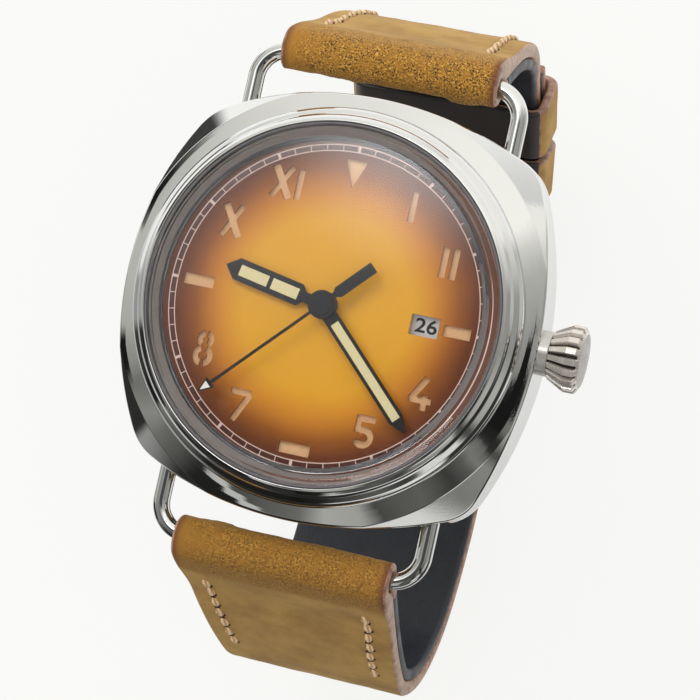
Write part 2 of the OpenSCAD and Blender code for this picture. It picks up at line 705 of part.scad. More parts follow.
module seconds_hand() {
    needle = 0.15;
    arrow = seconds_len - 1.7;
    arrow_half = 0.65;
    color(near_black) hand_at(seconds_angle, seconds_z) difference() {
        union() {
            linear_extrude(hand_t) {
                circle(r = hub_r, $fn = 48);
                polygon([[0, -needle], [arrow, -needle], [arrow, -arrow_half], [seconds_len, 0],
                         [arrow, arrow_half], [arrow, needle], [0, needle]]);
                polygon([[0, -0.3], [-1.7, -0.3], [-2.1, -0.6], [-tail_len, -0.6], [-tail_len, 0.6],
                         [-2.1, 0.6], [-1.7, 0.3], [0, 0.3]]);
            }
            disc(hub_r - 0.35, hand_t - touch, hand_t + 0.12, 48);
        }
        disc(seconds_arbor_r, -cut, hand_t, 48);
    }
}

// Movement
module movement_ring() {
    color(nickel) at_dial() difference() {
        ring(case_bore_r - 0.05, move_r + 0.02, -case_back_z + spigot_len + 0.05, -dial_t - lume_t, 128);
        along_x(move_r - cut, 0, -stem_z) cylinder(r = stem_r + 0.15, h = 6, $fn = 32);
    }
}
module main_plate() {
    color(nickel) at_dial() difference() {
        disc(move_r, -plate_back, -plate_z, 128);
        disc(well_r, -well_z, 0, 96);
        for (p = train_pockets) translate(p[0]) disc(p[1], -plate_back - cut, -floor_z, 64);
        translate([6.2, -2.3, -plate_back - cut]) cube([4.6, 4.6, plate_back - floor_z + cut]);
        translate([10.2, -1.2, -plate_back - cut]) cube([2.8, 6.2, plate_back - floor_z + cut]);
        translate([sliding_x - 0.2, -1.6, -floor_z - cut])
            cube([winding_x + winding_len - sliding_x + 0.35, 3.2, floor_z + cut - 1.95]);
        along_x(6, 0, -stem_z) cylinder(r = stem_r + run_fit, h = 10, $fn = 48);
        for (p = [second_at, escape_at, fork_at, balance_at])
            translate(p) disc(jewel_r, -floor_z - cut, 0, 32);
        translate(third_at) disc(third_pinion_pitch + 0.25, -floor_z - cut, 0, 32);
        disc(cannon_r + 0.12, -floor_z - cut, 0, 32);
    }
    color(nickel) at_dial() {
        translate(lever_at) disc(post_r, -plate_back + 0.1, -floor_z + touch, 32);
        translate(minute_wheel_at) disc(0.4, -well_z - touch, -1.02, 32);
    }
}
// One bridge plate, split by a line through the middle into the two bridges
module bridge_holes() {
    for (p = [second_at, third_at, escape_at]) translate(p) disc(jewel_r, -bridge_back - cut, 0, 32);
    disc(jewel_r, -bridge_back - cut, 0, 32);
    translate(balance_at) disc(balance_r + 0.6, -bridge_back - cut, 0, 64);
    translate([balance_at[0], balance_at[1], -bridge_back - cut]) linear_extrude(4)
        stroke([0, 0], polar(cock_reach + cock_w / 2 + 0.15, cock_dir), cock_w + 0.3);
    for (p = screw_places) translate(p) disc(0.4, -bridge_back - cut, 0, 24);
}
split_dir = 10;
module bridge_half(side) {
    gap = 0.1;
    intersection() {
        disc(move_r - 0.3, -bridge_back, -plate_back, 128);
        rotate(split_dir) translate([-20, side > 0 ? 1.6 + gap : 1.6 - 40, -bridge_back - 1])
            cube([40, 40, 3]);
    }
}
bearing_r = 1.8;
screw_places = [polar(12.6, 100), polar(12.4, 168), polar(12.6, 22), polar(12.4, -20),
                polar(12.4, -75), polar(12.4, 185)];
module barrel_bridge() {
    color(nickel) at_dial() difference() {
        bridge_half(1);
        bridge_holes();
        translate(barrel_at) disc(1.0 + run_fit, -bridge_back - cut, 0, 48);
        translate(barrel_at) disc(ratchet_pitch + 0.35, -bridge_back - cut, -ratchet_z + 0.05, 64);
        translate(crown_wheel_at) disc(crown_wheel_pitch + 0.35, -bridge_back - cut, -ratchet_z + 0.05, 64);
        translate([winding_x - 0.15, -1.6, -bridge_back - cut]) cube([winding_len + 0.3, 3.2, 3]);
    }
}
module train_bridge() {
    color(nickel) at_dial() translate(crown_wheel_at) disc(0.5, -bridge_back, -plate_back, 32);
    color(nickel) at_dial() difference() {
        bridge_half(-1);
        bridge_holes();
        translate(crown_wheel_at) disc(crown_wheel_pitch + 0.35, -bridge_back - cut, -ratchet_z + 0.05, 64);
        translate(barrel_at) disc(ratchet_pitch + 0.35, -bridge_back - cut, -ratchet_z + 0.05, 64);
        translate([winding_x - 0.15, -1.6, -bridge_back - cut]) cube([winding_len + 0.3, 3.2, 3]);
    }
}
module barrel_drum() {
    wall = 0.25;
    low = 3.95;
    high = 2.75;
    color(brass) at_dial() translate(barrel_at) difference() {
        union() {
            gear(barrel_teeth, barrel_pitch, -high - 0.3, -high, barrel_phase);
            disc(barrel_r - 0.35, -low, -high, 64);
        }
        disc(barrel_r - 0.35 - wall, -low + 0.2, -high - 0.2, 64);
        disc(0.6 + run_fit, -low - cut, 0, 32);
    }
}
module mainspring() {
    turns = 9;
    steps = 24;
    strip = 0.1;
    r_in = 1.35;
    r_out = barrel_r - 0.35 - 0.25 - 0.15;
    function spiral(i, side) = let (t = i / (turns * steps))
        polar(r_in + (r_out - r_in) * t + side * strip / 2, t * turns * 360);
    color([0.55, 0.56, 0.60]) at_dial() translate([barrel_at[0], barrel_at[1], -3.65]) linear_extrude(0.6)
        polygon(concat([for (i = [0 : turns * steps]) spiral(i, 1)],
                       [for (i = [turns * steps : -1 : 0]) spiral(i, -1)]));
}
module barrel_arbor() {
    color(steel) at_dial() translate(barrel_at) {
        disc(0.6, -4.4, -floor_z - 0.05, 32);
        disc(1.15, -3.7, -3.0, 32);
        disc(1.0, -ratchet_z + touch, -4.05, 32);
    }
}
module ratchet_wheel() {
    color(steel) at_dial() translate(barrel_at)
        gear(ratchet_teeth, ratchet_pitch, -ratchet_z - wheel_t, -ratchet_z, ratchet_phase);
}
module crown_wheel() {
    color(steel) at_dial() translate(crown_wheel_at) difference() {
        gear(crown_wheel_teeth, crown_wheel_pitch, -ratchet_z - wheel_t, -ratchet_z);
        disc(0.5 + run_fit, -8, 0, 32);
    }
}
module train_wheel(at, low, high, teeth, pitch, phase, spokes) {
    translate(at) spoked(pitch - 0.1, 0.7, spokes, low, high) gear(teeth, pitch, low, high, phase);
}
module pivoted(at, low, high, shaft_low, shaft_high) {
    translate(at) {
        disc(pivot_r, low, high, 24);
        disc(arbor_r, shaft_low, shaft_high, 24);
    }
}
top_pivot = -plate_back - 0.3;
module second_wheel() {
    color(brass) at_dial() {
        train_wheel(second_at, -4.15, -4.0, second_teeth, second_pitch, second_phase, 5);
        translate(second_at) gear(second_leaves, second_pinion_pitch, -3.95, -2.75, 0);
        pivoted(second_at, top_pivot, -floor_z + 0.3, -4.5, -2.7);
    }
}
module third_wheel() {
    color(brass) at_dial() {
        train_wheel(third_at, -3.1, -2.95, third_teeth, third_pitch, 0, 5);
        translate(third_at) gear(third_leaves, third_pinion_pitch, -4.25, -3.7, third_pinion_phase);
        translate(third_at) gear(third_leaves, third_pinion_pitch, -2.0, -1.65, third_pinion_phase);
        pivoted(third_at, top_pivot, -3, -4.5, -1.65);
    }
}
module seconds_wheel() {
    color(brass) at_dial() {
        train_wheel([0, 0], -4.42, -4.27, seconds_teeth, seconds_pitch, 0, 5);
        gear(seconds_leaves, seconds_pinion_pitch, -3.3, -2.75, seconds_pinion_phase);
        disc(seconds_arbor_r, -4.5, seconds_z + hand_t, 48);
        disc(pivot_r, top_pivot, -3, 24);
    }
}
escape_r = 2.1;
function escape_points() = [for (i = [0 : 19], k = [0 : 2])
    polar([1.62, 1.62, escape_r][k], 18 * i + [0, 12, 4][k])];
module escape_wheel() {
    color(steel) at_dial() {
        translate(escape_at) {
            spoked(1.65, 0.5, 4, -3.5, -3.36)
                translate([0, 0, -3.5]) linear_extrude(0.14) polygon(escape_points());
            gear(escape_leaves, escape_pinion_pitch, -4.45, -4.2, escape_pinion_phase);
            disc(escape_pinion_pitch - 0.08, -4.3, -3.3, 24);
        }
        pivoted(escape_at, top_pivot, -floor_z + 0.3, -3.6, -2.7);
    }
}
module pallet_fork() {
    lever = fork_reach - 0.62;
    color(steel) at_dial() {
        translate([fork_at[0], fork_at[1], -3.5]) rotate(fork_dir) linear_extrude(0.14) {
            difference() {
                union() {
                    polygon([[0, -0.3], [lever - 0.3, -0.12], [lever - 0.3, -0.32], [lever, -0.32],
                             [lever, 0.32], [lever - 0.3, 0.32], [lever - 0.3, 0.12], [0, 0.3]]);
                    circle(r = 0.42, $fn = 32);
                    for (k = [-1, 1]) {
                        stroke([0, 0], [-0.35, k * 1.15], 0.32);
                        stroke([-0.35, k * 1.15], [-0.5, k * 1.2], 0.3);
                    }
                }
                translate([lever - 0.25, -0.13]) square([0.6, 0.26]);
            }
        }
        pivoted(fork_at, -3.9, -floor_z + 0.3, -3.6, -2.7);
    }
}
module pallet_bridge() {
    span = 1.8;
    color(nickel) at_dial() translate(fork_at) rotate(fork_dir) difference() {
        union() {
            translate([-0.45, -span, -3.98]) cube([0.9, 2 * span, 0.24]);
            for (k = [-1, 1]) translate([0, k * span]) disc(0.42, -3.98, -floor_z, 32);
        }
        disc(pivot_r + run_fit, -5, -3, 24);
    }
}
balance_low = 4.45;
module balance_wheel() {
    color(brass) at_dial() translate(balance_at) {
        spoked(balance_r - 0.05, 0.8, 3, -balance_low, -4.05) disc(balance_r, -balance_low, -4.05, 96);
        disc(0.62, -3.72, -3.6, 32);
        rotate(fork_dir + 180) translate([0.5, 0]) disc(0.1, -3.65, -3.34, 20);
        disc(0.22, -4.9, -2.75, 24);
        disc(pivot_r, -5.5, -floor_z + 0.3, 24);
    }
}
spring_out_r = 3.2;
module hairspring() {
    turns = 10;
    steps = 24;
    strip = 0.07;
    r_in = 0.5;
    function coil(i, side) = let (t = i / (turns * steps))
        polar(r_in + (spring_out_r - r_in) * t + side * strip / 2, t * turns * 360 + cock_dir);
    color([0.30, 0.36, 0.62]) at_dial() translate([balance_at[0], balance_at[1], -4.8]) linear_extrude(0.15)
        polygon(concat([for (i = [0 : turns * steps]) coil(i, 1)],
                       [for (i = [turns * steps : -1 : 0]) coil(i, -1)]));
}
cock_z = plate_back + 0.45;
cock_dir = balance_dir - 95;
cock_w = 2.2;
cock_reach = 5.6;
module balance_cock() {
    color(nickel) at_dial() difference() {
        union() {
            translate([balance_at[0], balance_at[1], 0]) disc(1.3, -bridge_back, -cock_z, 48);
            translate([balance_at[0], balance_at[1], -bridge_back]) linear_extrude(bridge_back - cock_z)
                stroke([0, 0], polar(cock_reach + 0.8, cock_dir), cock_w);
            translate(balance_at + polar(cock_reach, cock_dir)) disc(0.75, -bridge_back, -plate_back, 32);
            translate(balance_at + polar(spring_out_r + 0.25, cock_dir)) disc(0.2, -cock_z - 0.2, -4.66, 24);
        }
        translate([balance_at[0], balance_at[1], 0]) disc(jewel_r, -bridge_back - cut, 0, 32);
    }
}
module minute_drive_wheel() {
    color(brass) at_dial() difference() {
        union() {
            gear(second_teeth, second_pitch, -1.93, -1.78, drive_phase);
            gear(cannon_leaves, cannon_pitch, -1.7, -1.38, 0);
            disc(cannon_pitch - 0.35, -1.8, -1.3, 48);
            disc(cannon_r, -1.5, minute_z + hand_t, 48);
        }
        disc(cannon_bore, -3, 3, 48);
    }
}
module minute_wheel() {
    color(brass) at_dial() translate(minute_wheel_at) difference() {
        union() {
            gear(minute_teeth, minute_pitch, -1.66, -1.5, minute_wheel_phase);
            gear(minute_leaves, minute_pinion_pitch, -1.5 - touch, -1.02, 0);
        }
        disc(0.4 + run_fit, -3, 0, 32);
    }
}
module hour_wheel() {
    color(brass) at_dial() difference() {
        union() {
            gear(hour_teeth, hour_pitch, -1.22, -1.06, hour_phase);
            disc(hour_tube_r, -1.2, hour_z + hand_t, 48);
        }
        disc(hour_bore, -3, 3, 48);
    }
}
module winding_pinion() {
    color(steel) at_dial() along_x(winding_x, 0, -stem_z) difference() {
        gear(winding_teeth, winding_pinion_r - 0.165, 0, winding_len);
        disc(stem_r + run_fit, -1, winding_len + 1, 32);
    }
}
module sliding_pinion() {
    color(steel) at_dial() along_x(sliding_x, 0, -stem_z) difference() {
        union() {
            disc(1.05, 0, 0.45, 48);
            disc(0.85, 0.3, 0.95, 48);
            disc(1.05, 0.85, sliding_len, 48);
        }
        disc(stem_r + run_fit, -1, sliding_len + 1, 32);
    }
}
module setting_lever() {
    pin_at = [lever_groove_x, 0];
    color(steel) at_dial() difference() {
        union() {
            translate([0, 0, -2.85]) linear_extrude(0.15) {
                translate(lever_at) circle(r = 0.8, $fn = 32);
                stroke(lever_at, pin_at, 0.8);
                translate(pin_at) circle(r = 0.4, $fn = 32);
            }
            translate(pin_at) disc(0.22, -3.1, -2.8, 24);
        }
        translate(lever_at) disc(post_r + run_fit, -5, 0, 32);
    }
}
module jewel(at, low, bore) {
    translate(at) ring(jewel_r, bore + run_fit, low, low + jewel_t, 32);
}
module jewels() {
    color(ruby) at_dial() {
        for (p = [second_at, escape_at, fork_at, balance_at]) jewel(p, -floor_z, pivot_r);
        for (p = [second_at, third_at, escape_at, [0, 0]]) jewel(p, -plate_back - jewel_t, pivot_r);
        jewel(balance_at, -bridge_back, pivot_r);
    }
}
module bridge_screws() {
    color([0.25, 0.30, 0.55]) at_dial() for (p = screw_places) translate(p) difference() {
        disc(0.4, -bridge_back - 0.05, -plate_back, 24);
        translate([-0.5, -0.08, -bridge_back - 0.2]) cube([1, 0.16, 0.35]);
    }
}
module rotor() {
    plate_low = bridge_back + 0.55;
    color(nickel) at_dial() difference() {
        union() {
            difference() {
                union() {
                    disc(rotor_r, -plate_low, -plate_low + 0.25, 96);
                    ring(rotor_r, rotor_r - 2.6, -plate_low - rotor_rim_t + 0.25, -plate_low + 0.25, 96);
                }
                translate([-20, -40, -12]) cube([40, 40, 12]);
            }
            disc(3.4, -plate_low, -plate_low + 0.25, 48);
        }
        disc(bearing_r + 0.05, -12, 0, 48);
        for (a = [45, 90, 135]) rotate(a) translate([6.8, 0]) disc(1.5, -12, 0, 32);
    }
}
module rotor_bearing() {
    color(steel) at_dial() difference() {
        union() {
            disc(bearing_r, -bridge_back - 0.6, -bridge_back, 48);
            disc(bearing_r + 0.35, -bridge_back - 0.75, -bridge_back - 0.6, 48);
        }
        translate([-0.8, -0.12, -bridge_back - 1]) cube([1.6, 0.24, 0.5]);
    }
}

// Strap. A route is a list of [y, z, heading, distance] along the seam between leather and lining,
// walked from the lug wire through stretches of [length, turn].
walk_step = 1;
function walk(at, stretches, i = 0) =
    i >= len(stretches) ? [at] :
    let (length = stretches[i][0], turn = stretches[i][1], count = max(1, ceil(length / walk_step)),
         part = [for (k = [0 : count - 1]) let (t = k / count, a = at[2] + turn * t / 2,
                    chord = length * t * (turn == 0 || t == 0 ? 1
                            : sin(abs(turn * t / 2)) / (abs(turn * t / 2) * PI / 180)))
                 [at[0] + chord * cos(a), at[1] + chord * sin(a), at[2] + turn * t, at[3] + length * t]],
         a = at[2] + turn / 2,
         chord = length * (turn == 0 ? 1 : sin(abs(turn / 2)) / (abs(turn / 2) * PI / 180)),
         end = [at[0] + chord * cos(a), at[1] + chord * sin(a), at[2] + turn, at[3] + length])
    concat(part, walk(end, stretches, i + 1));
// The longer half: out and down the 6 o'clock side, along the ground, then up past the buckle
flat_len = 16.3;
thin_run = 6;
drop_stretches = [[10, 1], [14, 8], [23.5, 88], [12, 22]];
long_drop = walk([-wire_bar_y, 0, -119, 0], drop_stretches);
seam_z = leather_t - long_drop[len(long_drop) - 1][1];
dial_height = seam_z + wire_z;
short_route = walk([wire_bar_y, seam_z, -63, 0], [[10.3, -4], [9, -15], [7, -38], [21, -32]]);
short_end = short_route[len(short_route) - 1];
short_len = short_end[3];
function seam(route) = [for (i = [len(route) - 1 : -1 : 0]) [route[i][0], route[i][1]]];
function shifted(p, d) = [p[0] + d * sin(p[2]), p[1] - d * cos(p[2])];
// The 12 o'clock half turns clockwise going down, so its outer side is on the left of travel
function out_short(p, d) = [p[0] - d * sin(p[2]), p[1] + d * cos(p[2])];
function taper(s, whole, at_lug, at_end) =
    at_lug + (at_end - at_lug) * min(1, max(0, (s - 18) / (whole - 30)));
function leather_12(s) = taper(s, 48, leather_t, leather_end_t);
function lining_12(s) = taper(s, 48, lining_t, lining_end_t);
long_walk = walk([-wire_bar_y, seam_z, -119, 0],
                 concat(drop_stretches, [[flat_len, 0], [4, 21], [4, -21], [7.05, 0]]));
flat_end = long_drop[len(long_drop) - 1][3] + flat_len;
walk_len = long_walk[len(long_walk) - 1][3];
tail_start = short_len - 2.5;
tail_end = 27.5;
function tail_shift(s) = leather_12(s) + layer_gap + lining_end_t;
tail_route = [for (i = [len(short_route) - 1 : -1 : 0]) let (p = short_route[i])
    if (p[3] <= tail_start && p[3] >= tail_end)
        let (q = out_short(p, tail_shift(p[3])))
        [q[0], q[1], p[2] + 180, walk_len + 2 + tail_start - p[3]]];
long_route = concat(long_walk, tail_route);
function thinned(s, at_lug, at_end) =
    at_lug + (at_end - at_lug) * min(1, max(0, (s - flat_end) / thin_run));
function leather_6(s) = thinned(s, leather_t, leather_end_t);
function lining_6(s) = thinned(s, lining_t, lining_end_t);

// Half the strap's width at a height: it narrows from the lugs down, then stays as wide
waist_drop = 26;
cut_w = 1.1 * strap_w;
function half_w(z) =
    (strap_end_w + (strap_w - strap_end_w) * min(1, max(0, 1 - (seam_z - z) / waist_drop))) / 2;
module waist() {
    spots = [-wire_r, seam_z - waist_drop, seam_z, seam_z + 2 * fold_r];
    rotate([90, 0, 0]) linear_extrude(8 * wire_bar_y, center = true)
        polygon(concat([for (z = spots) [half_w(z), z]],
                       [for (i = [len(spots) - 1 : -1 : 0]) [-half_w(spots[i]), spots[i]]]));
}
module band(points) {
    rotate([90, 0, 90]) linear_extrude(cut_w, center = true) polygon(points);
}
module rod_x(p, r, len, fn = 48) {
    along_x(-len / 2, p[0], p[1]) cylinder(r = r, h = len, $fn = fn);
}
module tongue_slot() {
    rod_x(bar_at, bar_fold_r + 1.2, tongue_w + 0.8);
}
fold_fit = 0.12;
fold_lift = (leather_t - fold_thin) / 2;
fold_r = wire_r + fold_fit + leather_t - fold_lift;
wire_12 = [wire_bar_y, seam_z];
wire_6 = [-wire_bar_y, seam_z];
fold_12 = out_short(short_route[0], fold_lift);
fold_6 = shifted(long_walk[0], fold_lift);
bar_fold_r = bar_r + 0.04 + leather_end_t * 0.8;
skive = 0.2;
bar_at = out_short(short_end, leather_end_t - bar_fold_r - 0.3);
lining_start = 4.5;
// Leather folded back on the inside between the lug wire and the start of the lining
module fold_block(route, side) {
    part = [for (p = route) if (p[3] <= lining_start + 0.01) p];
    band(concat([for (p = part) [p[0], p[1]]],
                [for (i = [len(part) - 1 : -1 : 0]) side > 0 ? out_short(part[i], -lining_t)
                                                            : shifted(part[i], -lining_t)]));
}

module strap_12_leather() {
    color(tan_leather) intersection() {
        waist();
        difference() {
            union() {
                band(concat([for (p = short_route)
                                out_short(p, leather_12(p[3]) - skive * max(0, p[3] - tail_start))],
                            seam(short_route)));
                fold_block(short_route, 1);
                rod_x(fold_12, fold_r, strap_w);
                rod_x(bar_at, bar_fold_r, strap_w);
            }
            rod_x(wire_12, wire_r + fold_fit, cut_w);
            rod_x(bar_at, bar_r + 0.04, cut_w);
            tongue_slot();
        }
    }
}
module strap_12_lining() {
    color(dark_lining) intersection() {
        waist();
        difference() {
            band(concat([for (p = short_route) if (p[3] >= lining_start) [p[0], p[1]]],
                        [for (i = [len(short_route) - 1 : -1 : 0]) let (p = short_route[i])
                            if (p[3] >= lining_start) out_short(p, -lining_12(p[3]))]));
            rod_x(fold_12, fold_r, cut_w);
            rod_x(bar_at, bar_fold_r, cut_w);
            tongue_slot();
        }
    }
}
hole_step = 7;
tongue_hole_s = walk_len - 0.9;
module tail_hole(s, slot) {
    i = min([for (j = [0 : len(long_route) - 1]) if (long_route[j][3] >= s) j]);
    p = long_route[i];
    translate([0, p[0], p[1]]) rotate([p[2], 0, 0]) translate([0, 0, -4]) {
        for (y = [-slot, slot]) translate([0, y, 0]) rotate(40) cylinder(r = hole_r, h = 8, $fn = 32);
        if (slot > 0) translate([-hole_r, -slot, 0]) cube([2 * hole_r, 2 * slot, 8]);
    }
}
module tail_holes() {
    tail_hole(tongue_hole_s, 1.3);
    for (k = [1 : 5]) tail_hole(tongue_hole_s - k * hole_step, 0);
    tail_hole(tongue_hole_s + hole_step, 0);
}
module strap_6_leather() {
    color(tan_leather) intersection() {
        waist();
        difference() {
            union() {
                band(concat([for (p = long_route) shifted(p, leather_6(p[3]))],
                            seam(long_route)));
                fold_block(long_walk, -1);
                rod_x(fold_6, fold_r, strap_w);
            }
            rod_x(wire_6, wire_r + fold_fit, cut_w);
            tail_holes();
        }
    }
}
module strap_6_lining() {
    color(dark_lining) intersection() {
        waist();
        difference() {
            band(concat([for (p = long_route) if (p[3] >= lining_start) [p[0], p[1]]],
                        [for (i = [len(long_route) - 1 : -1 : 0]) let (p = long_route[i])
                            if (p[3] >= lining_start) shifted(p, -lining_6(p[3]))]));
            rod_x(fold_6, fold_r, cut_w);
            tail_holes();
        }
    }
}
module stitch_row(route, first, outward) {
    for (k = [0 : stitch_count - 1]) {
        s = first + k * stitch_step;
        i = min([for (j = [0 : len(route) - 1]) if (route[j][3] >= s) j]);
        p = route[i];
        q = outward > 0 ? out_short(p, leather_12(p[3])) : shifted(p, leather_6(p[3]));
        for (side = [-1, 1])
            translate([side * (half_w(q[1]) - stitch_inset), q[0], q[1]]) rotate([p[2] - 90, 0, 0])
                translate([0, 0, -stitch_len / 2]) cylinder(r = thread_d / 2, h = stitch_len, $fn = 16);
    }
}
module stitches() {
    color(thread_colour) {
        stitch_row(short_route, 5, 1);
        stitch_row(long_walk, 5.8, -1);
    }
}

// Keepers: a flat loop round both layers, square to the strap at its middle
keeper_inner_w = strap_end_w + 0.5;
keeper_gap = 0.45;
module keeper(s) {
    i = min([for (j = [0 : len(short_route) - 1]) if (short_route[j][3] >= s) j]);
    p = short_route[i];
    low = lining_12(s) + keeper_gap;
    high = tail_shift(s) + leather_end_t + keeper_gap;
    translate([0, p[0], p[1]]) rotate([p[2] + 180, 0, 0]) difference() {
        translate([-keeper_inner_w / 2 - keeper_t, -keeper_len / 2, -high - keeper_t])
            cube([keeper_inner_w + 2 * keeper_t, keeper_len, low + high + 2 * keeper_t]);
        translate([-keeper_inner_w / 2, -keeper_len, -high])
            cube([keeper_inner_w, 2 * keeper_len, low + high]);
    }
}
fixed_keeper_s = short_len - 6.3;
sliding_keeper_s = fixed_keeper_s - keeper_len - 1.2;
module fixed_keeper() { color(tan_leather) keeper(fixed_keeper_s); }
module sliding_keeper() { color(tan_leather) keeper(sliding_keeper_s); }

// Buckle
front_at = [bar_at[0] - frame_reach, frame_rod_r + 0.05];
frame_half = strap_end_w / 2 + 0.5 + frame_rod_r;
eye_r = 1.25;
module rod(p, q, r) {
    d = q - p;
    translate(p) rotate([0, acos(d[2] / norm(d)), atan2(d[1], d[0])])
        cylinder(r = r, h = norm(d), $fn = 32);
}
module buckle_frame() {
    color(steel) difference() {
        union() {
            rod_x(front_at, frame_rod_r, 2 * frame_half);
            for (k = [-1, 1]) {
                rod([k * frame_half, front_at[0], front_at[1]],
                    [k * frame_half, bar_at[0], bar_at[1]], frame_rod_r);
                translate([k * frame_half, front_at[0], front_at[1]]) sphere(r = frame_rod_r, $fn = 32);
                translate([k * frame_half, 0, 0]) rod_x(bar_at, eye_r, 2 * frame_rod_r, 32);
            }
        }
        rod_x(bar_at, bar_r, 40);
        translate([-tongue_w / 2 - 0.1, front_at[0] - 3, -1]) cube([tongue_w + 0.2, 6, 1.6]);
    }
}
module buckle_bar() {
    color(steel) rod_x(bar_at, bar_r, 2 * frame_half + 2 * frame_rod_r);
}
module buckle_tongue() {
    tip_low = 0.05 - bar_at[1];
    color(steel) difference() {
        union() {
            rod_x(bar_at, bar_r + 0.75, tongue_w, 32);
            translate([0, bar_at[0], bar_at[1]]) rotate([90, 0, 90])
                linear_extrude(tongue_w - 0.2, center = true)
                polygon([[-1.3, 0], [-2.3, tip_low + 3.4], [-3, tip_low + 1.55],
                         [-frame_reach + 1.3, tip_low + 0.45], [-frame_reach - 1.1, tip_low + 0.4],
                         [-frame_reach - 1.1, tip_low], [-frame_reach + 1.3, tip_low],
                         [-1.9, tip_low + 0.75], [-1, tip_low + 2.2], [-0.2, -1]]);
        }
        rod_x(bar_at, bar_r + run_fit, 10);
    }
}

case_middle();
bezel();
crystal();
crystal_gasket();
rehaut_ring();
caseback();
caseback_gasket();
crown_tube();
crown();
crown_gasket();
winding_stem();
movement_ring();
lug_wire_12();
lug_wire_6();
dial_plate();
lume_plate();
date_disc();
hour_hand();
hour_hand_lume();
minute_hand();
minute_hand_lume();
seconds_hand();
main_plate();
barrel_drum();
mainspring();
barrel_arbor();
ratchet_wheel();
crown_wheel();
second_wheel();
third_wheel();
seconds_wheel();
escape_wheel();
pallet_fork();
pallet_bridge();
balance_wheel();
hairspring();
balance_cock();
train_bridge();
barrel_bridge();
minute_drive_wheel();
minute_wheel();
hour_wheel();
winding_pinion();
sliding_pinion();
setting_lever();
jewels();
bridge_screws();
rotor();
rotor_bearing();
strap_12_leather();
strap_12_lining();
strap_6_leather();
strap_6_lining();
stitches();
fixed_keeper();
sliding_keeper();
buckle_frame();
buckle_bar();
buckle_tongue();
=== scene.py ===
import json
import math

import bmesh
import bpy
import numpy as np
from mathutils import Matrix, Vector


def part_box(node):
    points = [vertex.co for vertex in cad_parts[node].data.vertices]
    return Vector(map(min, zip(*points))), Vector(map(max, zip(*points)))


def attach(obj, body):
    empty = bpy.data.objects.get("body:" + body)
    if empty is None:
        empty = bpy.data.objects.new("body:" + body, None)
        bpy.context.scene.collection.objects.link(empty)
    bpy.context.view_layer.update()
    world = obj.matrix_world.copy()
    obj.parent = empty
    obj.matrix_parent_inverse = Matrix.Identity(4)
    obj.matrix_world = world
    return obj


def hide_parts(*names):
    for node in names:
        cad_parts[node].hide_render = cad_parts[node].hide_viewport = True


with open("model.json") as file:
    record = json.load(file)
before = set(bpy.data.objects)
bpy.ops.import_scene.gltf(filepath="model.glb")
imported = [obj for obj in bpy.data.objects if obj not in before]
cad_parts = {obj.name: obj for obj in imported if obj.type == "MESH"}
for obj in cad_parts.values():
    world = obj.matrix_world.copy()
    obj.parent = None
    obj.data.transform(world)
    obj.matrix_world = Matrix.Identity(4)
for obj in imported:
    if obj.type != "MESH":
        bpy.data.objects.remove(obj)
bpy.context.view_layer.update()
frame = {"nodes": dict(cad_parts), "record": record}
nodes = frame["nodes"]
mm = 0.001
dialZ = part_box("dial_plate")[1].z / mm
print("frame loaded,", len(nodes), "nodes")


# camera
# Fitted to the dial, bezel, case and strap. Place in mm from the dial's middle, turn as rows.
view = {"focal": 137.37, "place": (70.0, -15.89, 261.68),
        "right": (0.94865979, 0.21564403, -0.23139198),
        "up": (-0.19846824, 0.97545447, 0.09538832),
        "back": (0.24628226, -0.0445671, 0.96817293)}
cameraData = bpy.data.cameras.new("viewpoint")
cameraData.sensor_width = 36
cameraData.lens = view["focal"]
cameraData.clip_start = 0.01
camera = bpy.data.objects.new("viewpoint", cameraData)
bpy.context.scene.collection.objects.link(camera)
turn = Matrix((view["right"], view["up"], view["back"])).transposed().to_4x4()
x, y, z = view["place"]
camera.matrix_world = Matrix.Translation((x * mm, y * mm, (z + dialZ) * mm)) @ turn
bpy.context.scene.camera = camera


# shader maths
class Wire:
    # one output socket; arithmetic on it adds Math nodes
    def __init__(self, finish, socket):
        self.finish, self.socket = finish, socket

    def math(self, operation, *others):
        # a Math node with this value first
        return self.finish.maths(operation, self, *others)

    def __add__(self, other):
        return self.math("ADD", other)

    def __sub__(self, other):
        return self.math("SUBTRACT", other)

    def __rsub__(self, other):
        return self.finish.maths("SUBTRACT", other, self)

    def __mul__(self, other):
        return self.math("MULTIPLY", other)

    def __truediv__(self, other):
        return self.math("DIVIDE", other)

    def __lt__(self, other):
        return self.math("LESS_THAN", other)

    def __gt__(self, other):
        return self.math("GREATER_THAN", other)

    __radd__ = __add__
    __rmul__ = __mul__

    def __abs__(self):
        return self.math("ABSOLUTE")

    def ramp(self, low, high, start=0.0, end=1.0):
        # smooth step from start at low to end at high
        return self.finish.node("ShaderNodeMapRange", {"interpolation_type": "SMOOTHSTEP"},
                                {0: self, 1: low, 2: high, 3: start, 4: end})

    def window(self, low, full, fading, high):
        # 0 up to low, 1 from full to fading, and 0 again from high on
        return self.ramp(low, full) * self.ramp(fading, high, 1, 0)


